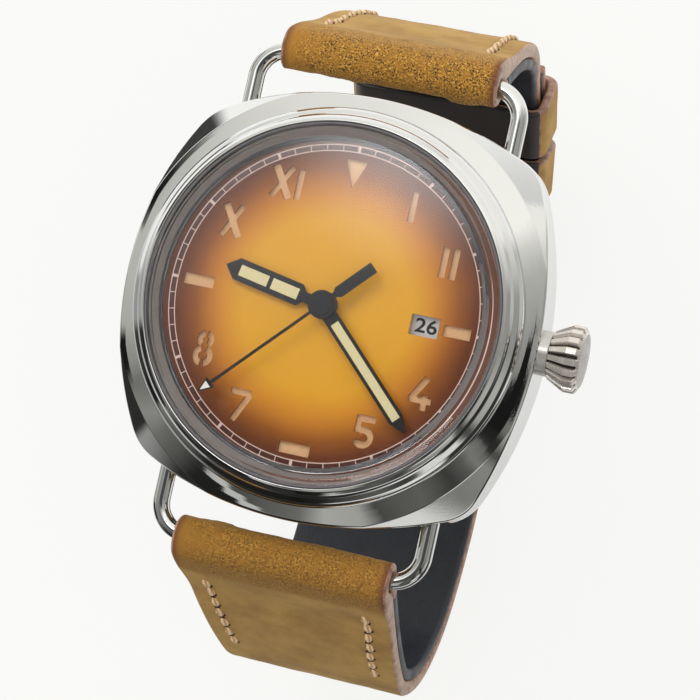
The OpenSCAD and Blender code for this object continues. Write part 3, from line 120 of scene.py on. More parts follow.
class Finish:
    # one material, or the world's nodes; node() takes a type, its settings and what goes into its sockets
    def __init__(self, name="", tree=None, **look):
        if tree is None:
            self.material = bpy.data.materials.new(name)
            self.material.use_nodes = True
            tree = self.material.node_tree
            self.shader = tree.nodes["Principled BSDF"]
        self.tree = tree
        self.set(**look)

    def set(self, **look):
        for key, value in look.items():
            self.plug(self.shader.inputs[labels[key]], value)
        return self

    def plug(self, socket, value):
        if isinstance(value, Wire):
            self.tree.links.new(value.socket, socket)
        elif isinstance(value, (tuple, list)) and socket.type == "RGBA":
            socket.default_value = tuple(value)[:3] + (1.0,)
        else:
            socket.default_value = value

    def node(self, kind, settings=None, sockets=None, out=0):
        made = self.tree.nodes.new(kind)
        for key, value in (settings or {}).items():
            if key == "stops":
                ramp = made.color_ramp
                for spot, colour in value[2:]:
                    ramp.elements.new(spot)
                for element, (spot, colour) in zip(ramp.elements, sorted(value)):
                    element.position, element.color = spot, tuple(colour) + (1.0,)
            else:
                setattr(made, key, value)
        for key, value in (sockets or {}).items():
            self.plug(made.inputs[key], value)
        return Wire(self, made.outputs[out])

    def maths(self, operation, *values):
        return self.node("ShaderNodeMath", {"operation": operation}, dict(enumerate(values)))

    def place(self):
        # the piece's own coordinates, in mm
        spot = self.node("ShaderNodeTexCoord", out="Object")
        return self.node("ShaderNodeVectorMath", {"operation": "SCALE"}, {0: spot, 3: 1 / mm})

    def parts(self, vector):
        split = self.node("ShaderNodeSeparateXYZ", sockets={0: vector})
        return [Wire(self, split.socket.node.outputs[i]) for i in range(3)]

    def joined(self, x, y, z):
        return self.node("ShaderNodeCombineXYZ", sockets={0: x, 1: y, 2: z})

    def noise(self, vector, scale, detail=2.0, rough=0.5):
        return self.node("ShaderNodeTexNoise", {"noise_dimensions": "3D"},
                         {"Vector": vector, "Scale": scale, "Detail": detail, "Roughness": rough})

    def blend(self, amount, first, second):
        return self.node("ShaderNodeMix", {"data_type": "RGBA"}, {0: amount, 6: first, 7: second}, out=2)

    def ramp(self, value, *stops):
        return self.node("ShaderNodeValToRGB", {"stops": stops}, {0: value})

    def bump(self, height, depth):
        sockets = {"Strength": 1.0, "Distance": depth * mm, "Height": height}
        return self.node("ShaderNodeBump", sockets=sockets)

    def mixedWith(self, other, amount):
        # another shader takes this one's place by an amount
        own = Wire(self, self.shader.outputs[0])
        both = self.node("ShaderNodeMixShader", sockets={0: amount, 1: own, 2: other})
        self.tree.links.new(both.socket, self.tree.nodes["Material Output"].inputs[0])
        return self


labels = {"colour": "Base Color", "metal": "Metallic", "rough": "Roughness", "normal": "Normal",
          "ior": "IOR", "coat": "Coat Weight", "coatRough": "Coat Roughness", "sheen": "Sheen Weight",
          "sheenRough": "Sheen Roughness", "sheenTint": "Sheen Tint", "through": "Transmission Weight"}


def tint(red, green, blue):
    # a colour as seen on a screen, 0 to 255, turned linear
    seen = np.array([red, green, blue]) / 255
    linear = np.where(seen <= 0.04045, seen / 12.92, ((seen + 0.055) / 1.055) ** 2.4)
    return tuple(float(v) for v in linear)


# surfaces
def placed(name, data):
    # an object of this name in the scene
    thing = bpy.data.objects.new(name, data)
    bpy.context.scene.collection.objects.link(thing)
    return thing


def joinMeshes(name, meshes):
    # several meshes as one object
    work = bmesh.new()
    for mesh in meshes:
        work.from_mesh(mesh)
        bpy.data.meshes.remove(mesh)
    joined = bpy.data.meshes.new(name)
    work.to_mesh(joined)
    work.free()
    return placed(name, joined)


def gridFaces(rows, columns, wrapRows=False, wrapColumns=False):
    # quads between neighbouring rows and columns of a grid of points
    i = np.arange(rows if wrapRows else rows - 1)[:, None]
    j = np.arange(columns if wrapColumns else columns - 1)[None, :]
    ii, jj = (i + 1) % rows, (j + 1) % columns
    corners = [i * columns + j, i * columns + jj, ii * columns + jj, ii * columns + j]
    return np.stack([np.broadcast_to(c, (len(i), j.size)) for c in corners], -1).reshape(-1, 4)


def signedVolume(points, faces):
    # six times the volume that the quads enclose, negative when they face inwards
    a, b, c, d = (points[faces[:, k]] for k in range(4))
    return float((np.cross(a, b) * c).sum() + (np.cross(a, c) * d).sum())


def makePiece(name, grid, wrapRows=False, wrapColumns=False, capRows=False, places=None, sharp=35):
    # grid is (rows, columns, 3) in mm. capRows closes the first and last row with a fan of triangles
    grid = np.asarray(grid, float)
    rows, columns = grid.shape[:2]
    points = grid.reshape(-1, 3)
    faces = gridFaces(rows, columns, wrapRows, wrapColumns)
    if places is not None:
        places = np.asarray(places, float).reshape(-1, 3)
    if capRows:
        for row, flip in ((0, False), (rows - 1, True)):
            ring = row * columns + np.arange(columns)
            middle = np.full(columns, len(points))
            following = np.roll(ring, -1)
            fan = np.stack([following, ring, middle, middle], -1)
            faces = np.vstack([faces, fan[:, [1, 0, 2, 3]] if flip else fan])
            points = np.vstack([points, points[ring].mean(0)])
            if places is not None:
                places = np.vstack([places, places[ring].mean(0)])
    if signedVolume(points - points.mean(0), faces) < 0:
        faces = faces[:, ::-1]
    lists = [list(dict.fromkeys(f)) for f in faces.tolist()]
    mesh = bpy.data.meshes.new(name)
    mesh.from_pydata((points * mm).tolist(), [], lists)
    if places is not None:
        layer = mesh.attributes.new("strapPlace", "FLOAT_VECTOR", "POINT")
        layer.data.foreach_set("vector", places.ravel())
    work = bmesh.new()
    work.from_mesh(mesh)
    bmesh.ops.remove_doubles(work, verts=work.verts, dist=1e-7)
    bmesh.ops.dissolve_degenerate(work, edges=work.edges, dist=1e-7)
    work.to_mesh(mesh)
    work.free()
    mesh.polygons.foreach_set("use_smooth", [True] * len(mesh.polygons))
    mesh.set_sharp_from_angle(angle=math.radians(sharp))
    mesh.update()
    return placed(name, mesh)


def softCorners(corners, radii, steps=5, hold=0.03):
    # every corner of a closed outline (..., n, 2) becomes an arc, with a point just outside each end
    c = np.asarray(corners, float)
    a, b = np.roll(c, 1, axis=-2) - c, np.roll(c, -1, axis=-2) - c
    la = np.linalg.norm(a, axis=-1, keepdims=True)
    lb = np.linalg.norm(b, axis=-1, keepdims=True)
    a, b = a / la, b / lb
    half = np.arccos(np.clip((a * b).sum(-1, keepdims=True), -0.99999, 0.99999)) / 2
    radii = np.broadcast_to(np.asarray(radii, float), c.shape[:-1])[..., None]
    short = np.minimum(la, lb)
    back = np.clip(radii / np.tan(half), 0.004 * short, 0.44 * short)
    t = np.linspace(0, 1, steps)[:, None]
    first, last = (c + a * back)[..., None, :], (c + b * back)[..., None, :]
    middle, weight = c[..., None, :], np.sin(half)[..., None, :]
    wa, wm, wb = (1 - t) ** 2, 2 * t * (1 - t) * weight, t ** 2
    arc = (wa * first + wm * middle + wb * last) / (wa + wm + wb)
    out = np.minimum(back + hold, 0.48 * short)
    arc = np.concatenate([(c + a * out)[..., None, :], arc, (c + b * out)[..., None, :]], axis=-2)
    return arc.reshape(c.shape[:-2] + (-1, 2))


def turned(name, outline, radii=0.08, around=256, alongX=False, centre=(0, 0), steps=5):
    # a closed outline of (radius, height) carried round an axis
    ring = softCorners(outline, radii, steps)
    angle = np.linspace(0, 2 * math.pi, around, endpoint=False)[:, None]
    r, h = ring[None, :, 0], ring[None, :, 1] + 0 * angle
    flat = [centre[0] + r * np.cos(angle), centre[1] + r * np.sin(angle)]
    grid = np.stack([h] + flat if alongX else flat + [h], -1)
    return makePiece(name, grid, wrapRows=True, wrapColumns=True)


def spun(radius, angle, height):
    # points round the dial's middle, with heights above the dial
    across = radius * np.cos(angle)
    return np.stack(np.broadcast_arrays(across, radius * np.sin(angle), dialZ + height), -1)


def filledIn(loop, step):
    # more points on the long sides of a closed outline
    dense = []
    for a, b in zip(loop, np.roll(loop, -1, 0)):
        count = max(1, int(np.hypot(*(b - a)) / step))
        dense.append(a + (b - a) * np.linspace(0, 1, count, endpoint=False)[:, None])
    return np.vstack(dense)


def distances(line):
    # how far along the line each of its points lies
    steps = np.linalg.norm(np.diff(line, axis=0), axis=1)
    return np.concatenate([[0], np.cumsum(steps)])


def tube(name, path, radius, up=(0, 0, 1), around=32):
    # a round section carried along a path that lies in a plane square to up
    path, up = np.asarray(path, float), np.asarray(up, float)
    ahead = np.gradient(path, axis=0)
    ahead /= np.linalg.norm(ahead, axis=1, keepdims=True)
    side = np.cross(ahead, up)
    angle = np.linspace(0, 2 * math.pi, around, endpoint=False)[None, :, None]
    ring = np.cos(angle) * side[:, None] + np.sin(angle) * up
    return makePiece(name, path[:, None] + radius * ring, wrapColumns=True, capRows=True)


def softNoise(x, y, seed):
    # smooth value noise between -1 and 1 on a lattice of 64 by 64
    table = np.random.default_rng(seed).uniform(-1, 1, (64, 64))
    i, j = np.floor(x).astype(int), np.floor(y).astype(int)
    u, v = x - i, y - j
    u, v = u * u * (3 - 2 * u), v * v * (3 - 2 * v)
    a, b = table[i % 64, j % 64], table[(i + 1) % 64, j % 64]
    c, d = table[i % 64, (j + 1) % 64], table[(i + 1) % 64, (j + 1) % 64]
    return (a * (1 - u) + b * u) * (1 - v) + (c * (1 - u) + d * u) * v


def arcPoints(centre, radius, start, end, count):
    # points of an arc in the plane, angles in degrees
    angle = np.radians(np.linspace(start, end, count))
    return np.stack([centre[0] + radius * np.cos(angle), centre[1] + radius * np.sin(angle)], -1)


def dress(piece, finish, body=None, replaces=()):
    # one finish; a piece with a body rides on it and takes the place of the CAD nodes named
    piece.data.materials.clear()
    piece.data.materials.append(finish.material)
    if body:
        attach(piece, body)
        for node in replaces:
            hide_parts(node)
    return piece


# finishes
def polishedSteel():
    # bright steel with faint smears
    f = Finish("polishedSteel", metal=1.0, colour=tint(222, 222, 219))
    spot = f.place()
    smear = f.noise(spot, 0.22, 3, 0.6)
    fine = f.noise(spot, 5.0, 2, 0.5)
    return f.set(rough=smear.ramp(0.35, 0.75, 0.02, 0.055), normal=f.bump(fine, 0.0006))


def brushedSteel(name, colour):
    # fine lines round an upright axis
    f = Finish(name, metal=1.0)
    x, y, z = f.parts(f.place())
    radius = (x * x + y * y).math("SQRT")
    lines = f.noise(f.joined(radius * 9, y * 0.15, z * 2), 1.0, 3, 0.6)
    return f.set(colour=f.blend(lines, [c * 0.82 for c in colour], colour),
                 rough=lines.ramp(0.3, 0.7, 0.2, 0.34), normal=f.bump(lines, 0.004))


def plated(name, colour, rough=0.25, stripes=0.0):
    # a clouded metal coat, with straight waves of one width where stripes is given
    f = Finish(name, metal=1.0)
    spot = f.place()
    x, y = f.parts(spot)[:2]
    cloud = f.noise(spot, 0.8, 3, 0.6)
    tone = cloud.ramp(0.3, 0.7, 0.9, 1.0)
    if stripes:
        wave = ((x + y) * (math.pi / stripes)).math("SINE")
        tone = tone * wave.ramp(-1, 1, 0.86, 1.0)
    return f.set(colour=f.blend(tone, (0, 0, 0), colour), rough=cloud.ramp(0.3, 0.7, rough, rough + 0.1))


def crystalGlass():
    # clear glass that lets the lamps' light through without a caustic
    f = Finish("crystalGlass", colour=(1, 1, 1), rough=0.0, ior=1.5, through=1.0)
    shadow = f.node("ShaderNodeLightPath", out="Is Shadow Ray")
    clear = f.node("ShaderNodeBsdfTransparent", sockets={0: (0.96, 0.97, 0.97)})
    return f.mixedWith(clear, shadow)


def grained(name, scale, dark, pale, rough, **look):
    # a plain finish with a faint grain; rough is one number, or the four of a ramp that the grain drives
    f = Finish(name, **look)
    grain = f.noise(f.place(), scale, 2, 0.5)
    dull = grain.ramp(*rough) if isinstance(rough, tuple) else rough
    return f.set(colour=f.blend(grain, tint(*dark), tint(*pale)), rough=dull)


dial = {"trackIn": 15.95, "trackOut": 16.57, "line": 0.052, "tick": 0.048, "hourTick": 0.15, "tone": 18.0}


def dialPaint():
    # amber in the middle, smoked brown towards the rim, with a printed minute track
    f = Finish("dialPaint", rough=0.4, coat=0.1, coatRough=0.1, ior=1.45)
    spot = f.place()
    x, y = f.parts(spot)[:2]
    radius = (x * x + y * y).math("SQRT")
    cloud = f.noise(spot, 0.12, 2, 0.5)
    smoke = f.ramp((radius + cloud * 1.2 - 0.6) / dial["tone"],
                   (0.0, tint(229, 164, 24)), (1.0, tint(84, 44, 20)), (0.5, tint(226, 161, 20)),
                   (0.61, tint(212, 138, 18)), (0.68, tint(190, 115, 14)), (0.77, tint(144, 79, 12)),
                   (0.86, tint(104, 50, 16)))
    share = y.math("ARCTAN2", x) / (2 * math.pi)
    minute = (share * 60 + 60.5).math("FRACT") - 0.5
    hour = (share * 12 + 12.5).math("FRACT") - 0.5
    arc = radius * (2 * math.pi)
    inTrack = (radius > dial["trackIn"]) * (radius < dial["trackOut"])
    hourTicks = abs(hour) * arc / 12 < dial["hourTick"]
    ticks = (abs(minute) * arc / 60 < dial["tick"]).math("MAXIMUM", hourTicks)
    rings = (abs(radius - dial["trackIn"]) < dial["line"]) + (abs(radius - dial["trackOut"]) < dial["line"])
    printed = (ticks * inTrack).math("MAXIMUM", rings)
    cells = f.blend(inTrack * 0.75, smoke, tint(70, 36, 30))
    return f.set(colour=f.blend(printed * 0.9, cells, tint(226, 200, 188)),
                 rough=printed.ramp(0, 1, 0.3, 0.5), normal=f.bump(printed, 0.012))


def lumePaint(name, colour, shade):
    # a grainy matt paint between two tones
    f = Finish(name, rough=0.75)
    grain = f.noise(f.place(), 9.0, 3, 0.6)
    return f.set(colour=f.blend(grain.ramp(0.3, 0.75), shade, colour), normal=f.bump(grain, 0.02))


leather = {"face": tint(167, 131, 67), "faceDark": tint(136, 101, 46), "fold": tint(150, 103, 28),
           "foldDark": tint(46, 28, 10), "foldLight": tint(206, 156, 66), "edge": tint(160, 124, 106),
           "edgeDark": tint(104, 66, 52), "burnt": tint(96, 50, 28), "keeperUnderShade": tint(38, 36, 38),
           "holeShade": tint(74, 48, 24), "holeShadeDark": tint(48, 30, 16)}


def tanLeather():
    # strapPlace holds the distance from the wire, the place across and how far round to the cut edge
    f = Finish("tanLeather", sheen=0.2, sheenRough=0.5, sheenTint=tint(240, 205, 140))
    spot = f.place()
    x, y, z = f.parts(spot)
    s, across, edge = f.parts(f.node("ShaderNodeAttribute", {"attribute_name": "strapPlace"}, out="Vector"))
    # clouds and mottles on the smooth face, a rough grain with dark specks on the fold, and painted shade
    # darkening the fold at 6 o'clock
    cloud = f.noise(spot, 0.16, 4, 0.6)
    mottle = f.noise(spot, 0.9, 5, 0.65)
    grain = f.noise(spot, 4.6, 2, 0.6)
    speck = f.noise(f.joined(x + 40, y, z), 5.2, 2, 0.6)
    wander = f.noise(spot, 0.35, 3, 0.6)
    fold = (s + (wander - 0.5) * 5).ramp(1.2, 4.2, 1, 0)
    smooth = f.blend(cloud.ramp(0.35, 0.7), leather["face"], leather["faceDark"])
    smooth = f.blend(mottle.ramp(0.45, 0.75, 0, 0.4), smooth, leather["faceDark"])
    napped = mottle.ramp(0.36, 0.56, 0.35, 1) * y.ramp(-5, 5, 0.65, 1) * across.ramp(-12, -7)
    rough = f.blend(grain.ramp(0.5, 0.62, 0, 0.85) * napped, leather["fold"], leather["foldLight"])
    rough = f.blend(speck.ramp(0.5, 0.6) * napped * 0.95, rough, leather["foldDark"])
    # painted shade: the fold at 6 o'clock is up to a fifth darker than at 12 o'clock
    rough = f.blend(y.ramp(-5, 5, 0.19, 0), rough, (0, 0, 0))
    skin = f.blend(fold, smooth, rough)
    # burnt corners of the fold, then the cut edges, and the keepers' outer face under the strap painted
    # near-black as painted shade
    burnt = abs(across).ramp(10.5, 11.4) * s.ramp(0.5, 3, 1, 0)
    skin = f.blend(burnt * 0.8, skin, leather["burnt"])
    cutEdge = f.blend(mottle.ramp(0.35, 0.65), leather["edge"], leather["edgeDark"])
    rim = (edge + (wander - 0.5) * 0.3).ramp(0.35, 0.6)
    height = grain * (fold * napped * 0.9 + 0.25) - speck * fold * napped
    colour = f.blend(edge.ramp(1.2, 1.7), f.blend(rim, skin, cutEdge), leather["keeperUnderShade"])
    return f.set(colour=colour, rough=rim.ramp(0, 1, 0.85, 0.36), normal=f.bump(height * (1 - rim), 0.12))


def darkLining():
    # almost black leather with pores, scuffs and some dust
    f = Finish("darkLining")
    spot = f.place()
    pore = f.noise(spot, 2.6, 4, 0.6)
    scuff = f.noise(spot, 0.5, 4, 0.7)
    fuzz = f.noise(spot, 7.0, 2, 0.6)
    dust = scuff.ramp(0.58, 0.8) * fuzz.ramp(0.6, 0.7)
    base = f.blend(pore, tint(26, 28, 33), tint(44, 46, 52))
    return f.set(colour=f.blend(dust, base, tint(108, 106, 104)), rough=scuff.ramp(0.3, 0.7, 0.38, 0.55),
                 normal=f.bump(pore, 0.05))


def creamThread():
    # slanting bands stand for the thread's strands, and the troughs between them are painted darker as
    # painted shade
    f = Finish("creamThread", sheen=0.3)
    x, y, z = f.parts(f.place())
    lay = ((x * 1.3 + y - z * 0.6) * 7).math("SINE")
    fuzz = f.noise(f.place(), 4.0, 3, 0.6)
    tone = lay.ramp(-1, 0.2) * fuzz.ramp(0.2, 0.5, 0.7, 1)
    cream = f.blend(tone, tint(170, 128, 86), tint(218, 186, 140))
    return f.set(colour=cream, rough=0.75, normal=f.bump(lay, 0.04))


def sewnHole():
    # dark discs at the ends of each stitch: painted shade in the stitch holes
    f = Finish("sewnHole", rough=0.9)
    fuzz = f.noise(f.place(), 5.0, 2, 0.6)
    return f.set(colour=f.blend(fuzz, leather["holeShadeDark"], leather["holeShade"]))


steel = polishedSteel()
glass = crystalGlass()
rubber = grained("blackRubber", 6.0, (84, 80, 82), (104, 100, 102), (0.2, 0.8, 0.5, 0.65))
leatherFinish = tanLeather()
liningFinish = darkLining()
threadFinish, holeShadeFinish = creamThread(), sewnHole()
slotFinish = {
    "polished_steel": steel, "crystal": glass, "black_rubber": rubber,
    "brushed_steel": brushedSteel("brushedSteel", tint(196, 196, 193)),
    "nickel": plated("stripedNickel", tint(205, 204, 198), 0.24, 1.6),
    "brass": plated("giltBrass", tint(214, 178, 104), 0.2),
    "spring_steel": plated("bluedSpring", tint(70, 84, 140), 0.22),
    "dial_paint": dialPaint(),
    "lume": lumePaint("creamLume", tint(232, 220, 172), tint(214, 200, 150)),
    "date_silver": grained("dateSilver", 4.0, (200, 202, 206), (222, 223, 226), 0.42, metal=0.35),
    "black_hands": grained("satinBlack", 3.0, (22, 22, 25), (34, 34, 38), (0.3, 0.7, 0.3, 0.4),
                           coat=0.3, coatRough=0.2),
    "ruby": grained("ruby", 2.0, (150, 12, 50), (196, 30, 78), 0.12, coat=0.5),
    "tan_suede": leatherFinish, "dark_lining": liningFinish, "thread": threadFinish}
peachLume = lumePaint("peachLume", tint(234, 190, 142), tint(214, 166, 118))
ink = grained("inkBlack", 8.0, (14, 14, 18), (26, 26, 32), 0.4)
white = grained("whitePaint", 8.0, (226, 222, 214), (240, 238, 232), 0.5)
for part in frame["record"]["subparts"]:
    dress(nodes[part["node"]], slotFinish[part["material_slot"]])
dress(nodes["lume_plate"], peachLume)
print("finishes made")


# case
case = {"half": 22.1, "sideR": 40.0, "cornerR": 5.0, "domeR": 45.0, "seat": -0.3, "bezelR": 20.5,
        "flankR": 22.6, "slope": 1.1, "back": -7.5, "ledge": -6.35, "bore": 18.3, "spigot": 19.15,
        "footR": 24.2, "footRun": 1.8, "footRise": 1.2, "around": 720}


def caseReach(angle):
    # distance of the cushion outline from the middle: bulged sides of one radius, round corners of another
    a = (angle + math.pi / 4) % (math.pi / 2) - math.pi / 4
    off = case["sideR"] - case["half"]
    side = -off * np.cos(a) + np.sqrt(case["sideR"] ** 2 - (off * np.sin(a)) ** 2)
    reach = case["sideR"] - case["cornerR"]
    at = (math.sqrt(2 * reach * reach - off * off) - off) / 2
    b = np.abs(a)
    along = at * (np.cos(b) + np.sin(b))
    corner = along + np.sqrt(np.maximum(along ** 2 - 2 * at * at + case["cornerR"] ** 2, 0))
    meet = math.atan2(at, at + off)
    switch = math.atan2(case["sideR"] * math.sin(meet), case["sideR"] * math.cos(meet) - off)
    return np.where(b < switch, side, corner)


def domeZ(r):
    # height of the case's domed top at a distance from the middle
    big = case["domeR"]
    return case["seat"] - math.sqrt(big ** 2 - case["bezelR"] ** 2) + np.sqrt(big ** 2 - r ** 2)


def caseBody():
    # the case's section, which changes with the angle, carried round: inside, top, flank and foot
    angle = np.linspace(0, 2 * math.pi, case["around"], endpoint=False)
    out = caseReach(angle)
    shoulder = np.minimum(case["flankR"], out - 0.2)
    rim = domeZ(shoulder) - case["slope"] * (out - shoulder)
    foot = np.minimum(case["footR"], out - 0.35)
    footZ = case["back"] + np.maximum(0.35, (out - case["footR"]) / case["footRun"] * case["footRise"])
    m1, m2 = (case["bezelR"] + (shoulder - case["bezelR"]) * share for share in (0.33, 0.67))
    rows = [(case["bore"], case["seat"]), (case["bezelR"], case["seat"]), (m1, domeZ(m1)), (m2, domeZ(m2)),
            (shoulder, domeZ(shoulder)), (out, rim), (out, footZ), (foot, case["back"]),
            (case["spigot"], case["back"]), (case["spigot"], case["ledge"]), (case["bore"], case["ledge"])]
    corners = np.stack([np.stack(np.broadcast_arrays(r, z, out)[:2], -1) for r, z in rows], 1)
    radii = [0.05, 0.05, 9, 9, 0.5, 0.7, 0.2, 0.2, 0.05, 0.05, 0.05]
    section = softCorners(corners, radii, 6)
    grid = spun(section[..., 0], angle[:, None], section[..., 1])
    return makePiece("caseBody", grid, wrapRows=True, wrapColumns=True)


dress(caseBody(), steel, "case", ["case_middle"])
bezelOutline = np.array([[18.3, -0.3], [20.5, -0.3], [20.5, 0.35], [20.36, 0.8], [20.06, 1.22], [19.6, 1.58],
                         [19.5, 1.72], [19.35, 1.98], [19.0, 2.34], [18.72, 2.5], [18.6, 2.4], [18.6, 1.3],
                         [18.3, 1.3]])
bezelRadii = [0.03, 0.05, 0.5, 0.8, 0.8, 0.05, 0.05, 0.6, 0.6, 0.12, 0.05, 0.03, 0.03]
bezel = turned("bezelRing", bezelOutline + [0, dialZ], bezelRadii, 384, steps=6)
dress(bezel, steel, "case", ["bezel"])


crystal = {"rim": 18.3, "bevel": 0.6, "low": 1.3, "edge": 1.3, "rise": 0.55, "thick": 1.05, "lip": 1.1,
           "rimPoints": 28, "domePoints": 28, "around": 256}


def crystalDome():
    # bevelled edge and a shallow dome, the underside following the top. After the bevel the outline
    # also runs once flat to the axis and back under the dome
    rim, low, rise = crystal["rim"], crystal["low"], crystal["rise"]
    inner, shoulder = rim - crystal["lip"], rim - crystal["bevel"]
    high = low + crystal["edge"]
    top = high + crystal["bevel"] * 0.6
    under = top - crystal["thick"]
    big = (shoulder ** 2 + rise ** 2) / (2 * rise)
    share = np.linspace(0, 1, crystal["domePoints"])

    def lens(radius, base):
        # the dome's curve over a base height
        return np.stack([radius, base + np.sqrt(big ** 2 - radius ** 2) - (big - rise)], -1)

    corners = [[inner, low], [rim, low], [rim, high], [shoulder, top], [0, top], [0, under]]
    soft = softCorners(corners, [0.04, 0.04, 0.05, 0.05, 0.01, 0.01], 4)[:crystal["rimPoints"]]
    outline = np.vstack([lens(inner * share, under)[:-1], soft, lens(shoulder * share[::-1], top)[1:]])
    angle = np.linspace(0, 2 * math.pi, crystal["around"], endpoint=False)[:, None]
    return makePiece("crystalDome", spun(outline[:, 0], angle, outline[:, 1]), wrapRows=True)


dress(crystalDome(), glass, "case", ["crystal"])
sealOutline = [[18.32, dialZ + 1.3], [18.58, dialZ + 1.3], [18.58, dialZ + 2.44], [18.32, dialZ + 2.44]]
dress(turned("crystalSeal", sealOutline), rubber, "case", ["crystal_gasket"])
ringOutline = [[17.2, dialZ], [18.15, dialZ], [18.15, dialZ + 1.3], [17.9, dialZ + 1.3]]
rimSteel = plated("rimSteel", tint(146, 142, 139), 0.42).set(metal=0.2)
dress(turned("innerRing", ringOutline, 0.03, 384), rimSteel, "case", ["rehaut_ring"])


backPlate = {"low": -9.2, "rim": 20.6, "notches": 6, "width": 2.6, "depth": 0.6, "innerR": 18.2,
             "groove": 0.12}


def caseBack():
    # a dished disc with key notches cut into its rim
    low, rim, sector = backPlate["low"], backPlate["rim"], 2 * math.pi / backPlate["notches"]
    near = np.linspace(-1, 1, 9) * 1.6 / rim
    spread = np.concatenate([(i + 0.5) * sector + near for i in range(backPlate["notches"])])
    even = np.linspace(0, 2 * math.pi, 240, endpoint=False)
    angle = np.sort(np.concatenate([spread % (2 * math.pi), even]))[:, None]
    off = np.abs((angle / sector) % 1 - 0.5) * sector * 19
    cutIn = np.clip((backPlate["width"] / 2 + 0.04 - off) / 0.08, 0, 1)
    r = np.array([0, 5, 10, 14, 16.8, 17.0, 17.2, 18.15, 18.25, 18.9, 19.3, 19.9, 20.5, rim, rim, rim])
    above = [0, 0, 0, 0, 0, backPlate["groove"], 0, 0, 0, 0, 0, 0.4, 0.84, 1.0]
    h = np.array([low + rise for rise in above] + [case["back"] - 0.05, case["back"]])
    lifted = np.maximum(h, low + backPlate["depth"])
    z = h + (lifted - h) * cutIn * (r > backPlate["innerR"])
    grid = spun(r, angle, z)
    top = spun(r[::-1], angle, np.full_like(z, case["back"]))
    return makePiece("caseBack", np.concatenate([grid, top[:, 1:]], 1), wrapRows=True, sharp=30)


dress(caseBack(), slotFinish["brushed_steel"], "case", ["caseback"])


# crown
crown = {"z": -3.5, "start": 23.15, "small": 2.5, "big": 3.45, "cone": 1.85, "rim": 1.05, "chamfer": 0.4,
         "faceR": 2.75, "doming": 0.24, "bore": 1.65, "boreDepth": 1.6, "flutes": 18, "depth": 0.6,
         "fluteWidth": 0.42, "fluteStart": 2.42}


def crownSteel():
    # satin steel with painted shade darkening the slits between the ridges, and a darker face
    f = plated("crownSteel", tint(216, 209, 200), 0.2)
    x, y, z = f.parts(f.place())
    ridge = (z - (dialZ + crown["z"])).math("ARCTAN2", y) * crown["flutes"]
    face = crown["start"] + crown["cone"] + crown["rim"] + crown["chamfer"] * 0.9
    slitShade = ridge.math("COSINE").ramp(-0.9, -0.35, 1, 0) * x.ramp(face - 0.3, face - 0.1, 1, 0)
    # painted shade in the slits, and the face darkened as well
    dull = slitShade.math("MAXIMUM", x.ramp(face, face + 0.05, 0, 0.6))
    return f.set(colour=f.blend(dull, tint(216, 209, 200), tint(52, 46, 42)), metal=0.72)


def crownGrip():
    # a cone and a rim with round-bottomed flutes, and a slightly domed face
    s, c = crown["start"], crown
    x1, x2 = s + c["cone"], s + c["cone"] + c["rim"]
    x3 = x2 + c["chamfer"]
    corners = [[c["bore"], s], [c["small"], s], [c["small"] + 0.02, s + 0.05], [c["big"], x1],
               [c["big"], x2], [c["faceR"], x3], [0.0001, x3 + c["doming"]], [0.0001, x3 - 0.3],
               [0.0001, s + c["boreDepth"]], [c["bore"], s + c["boreDepth"]]]
    radii = [0.02, 0.08, 0.01, 0.25, 0.12, 0.12, 0.001, 0.001, 0.001, 0.02]
    section = filledIn(softCorners(corners, radii, 6), 0.14)
    angle = np.linspace(0, 2 * math.pi, c["flutes"] * 24, endpoint=False)[:, None]
    phase = np.abs((angle * c["flutes"] / (2 * math.pi)) % 1 - 0.5) * 2
    groove = np.clip(1 - (phase / c["fluteWidth"]) ** 2, 0, 1) ** 0.4
    r, x = section[:, 0], section[:, 1]
    outer = np.clip((r - c["fluteStart"]) / 0.15, 0, 1) * np.clip((x2 + 0.3 - x) / 0.25, 0, 1)
    depth = c["depth"] * np.clip(0.55 + (x - s) / 2.5, 0, 1)
    rr = r - groove * (outer * depth)
    grid = np.stack([x + 0 * rr, rr * np.cos(angle), dialZ + c["z"] + rr * np.sin(angle)], -1)
    return makePiece("crownGrip", grid, wrapRows=True, wrapColumns=True, sharp=40)


dress(crownGrip(), crownSteel(), "crown", ["crown"])
tubeOutline = [[0.66, 18.4], [2.3, 18.4], [2.3, 23.1], [1.55, 23.1], [1.55, 24.6], [0.66, 24.6]]
tubeRadii = [0.02, 0.02, 0.12, 0.05, 0.1, 0.02]
tubeSteel = plated("tubeSteel", tint(196, 193, 186), 0.24).set(metal=0.6)
dress(turned("crownTube", tubeOutline, tubeRadii, 96, True, (0, dialZ + crown["z"])), tubeSteel,
      "case", ["crown_tube"])


# lug wires
wire = {"r": 0.9, "legX": 14.3, "barY": 25.9, "bend": 3.2, "z": -5.5, "legEnd": 18.6}


def lugWire(name, side):
    # a bent wire with two legs in the case; side is 1 for 12 o'clock
    x, y, b = wire["legX"], wire["barY"], wire["bend"]
    right = np.vstack([[[x, wire["legEnd"]]], arcPoints((x - b, y - b), b, 0, 90, 24)])
    path = np.vstack([right, right[::-1] * [-1, 1]]) * [1, side]
    path = np.column_stack([path, np.full(len(path), dialZ + wire["z"])])
    return tube(name, path, wire["r"], around=40)


dress(lugWire("lugWireTop", 1), steel, "case", ["lug_wire_12"])
dress(lugWire("lugWireBottom", -1), steel, "case", ["lug_wire_6"])
print("case made")


# seconds hand
pointer = {"clock": 223.8, "length": 15.6, "from": 1.4, "to": 0.35, "half": 0.4, "low": 1.6, "high": 1.66}


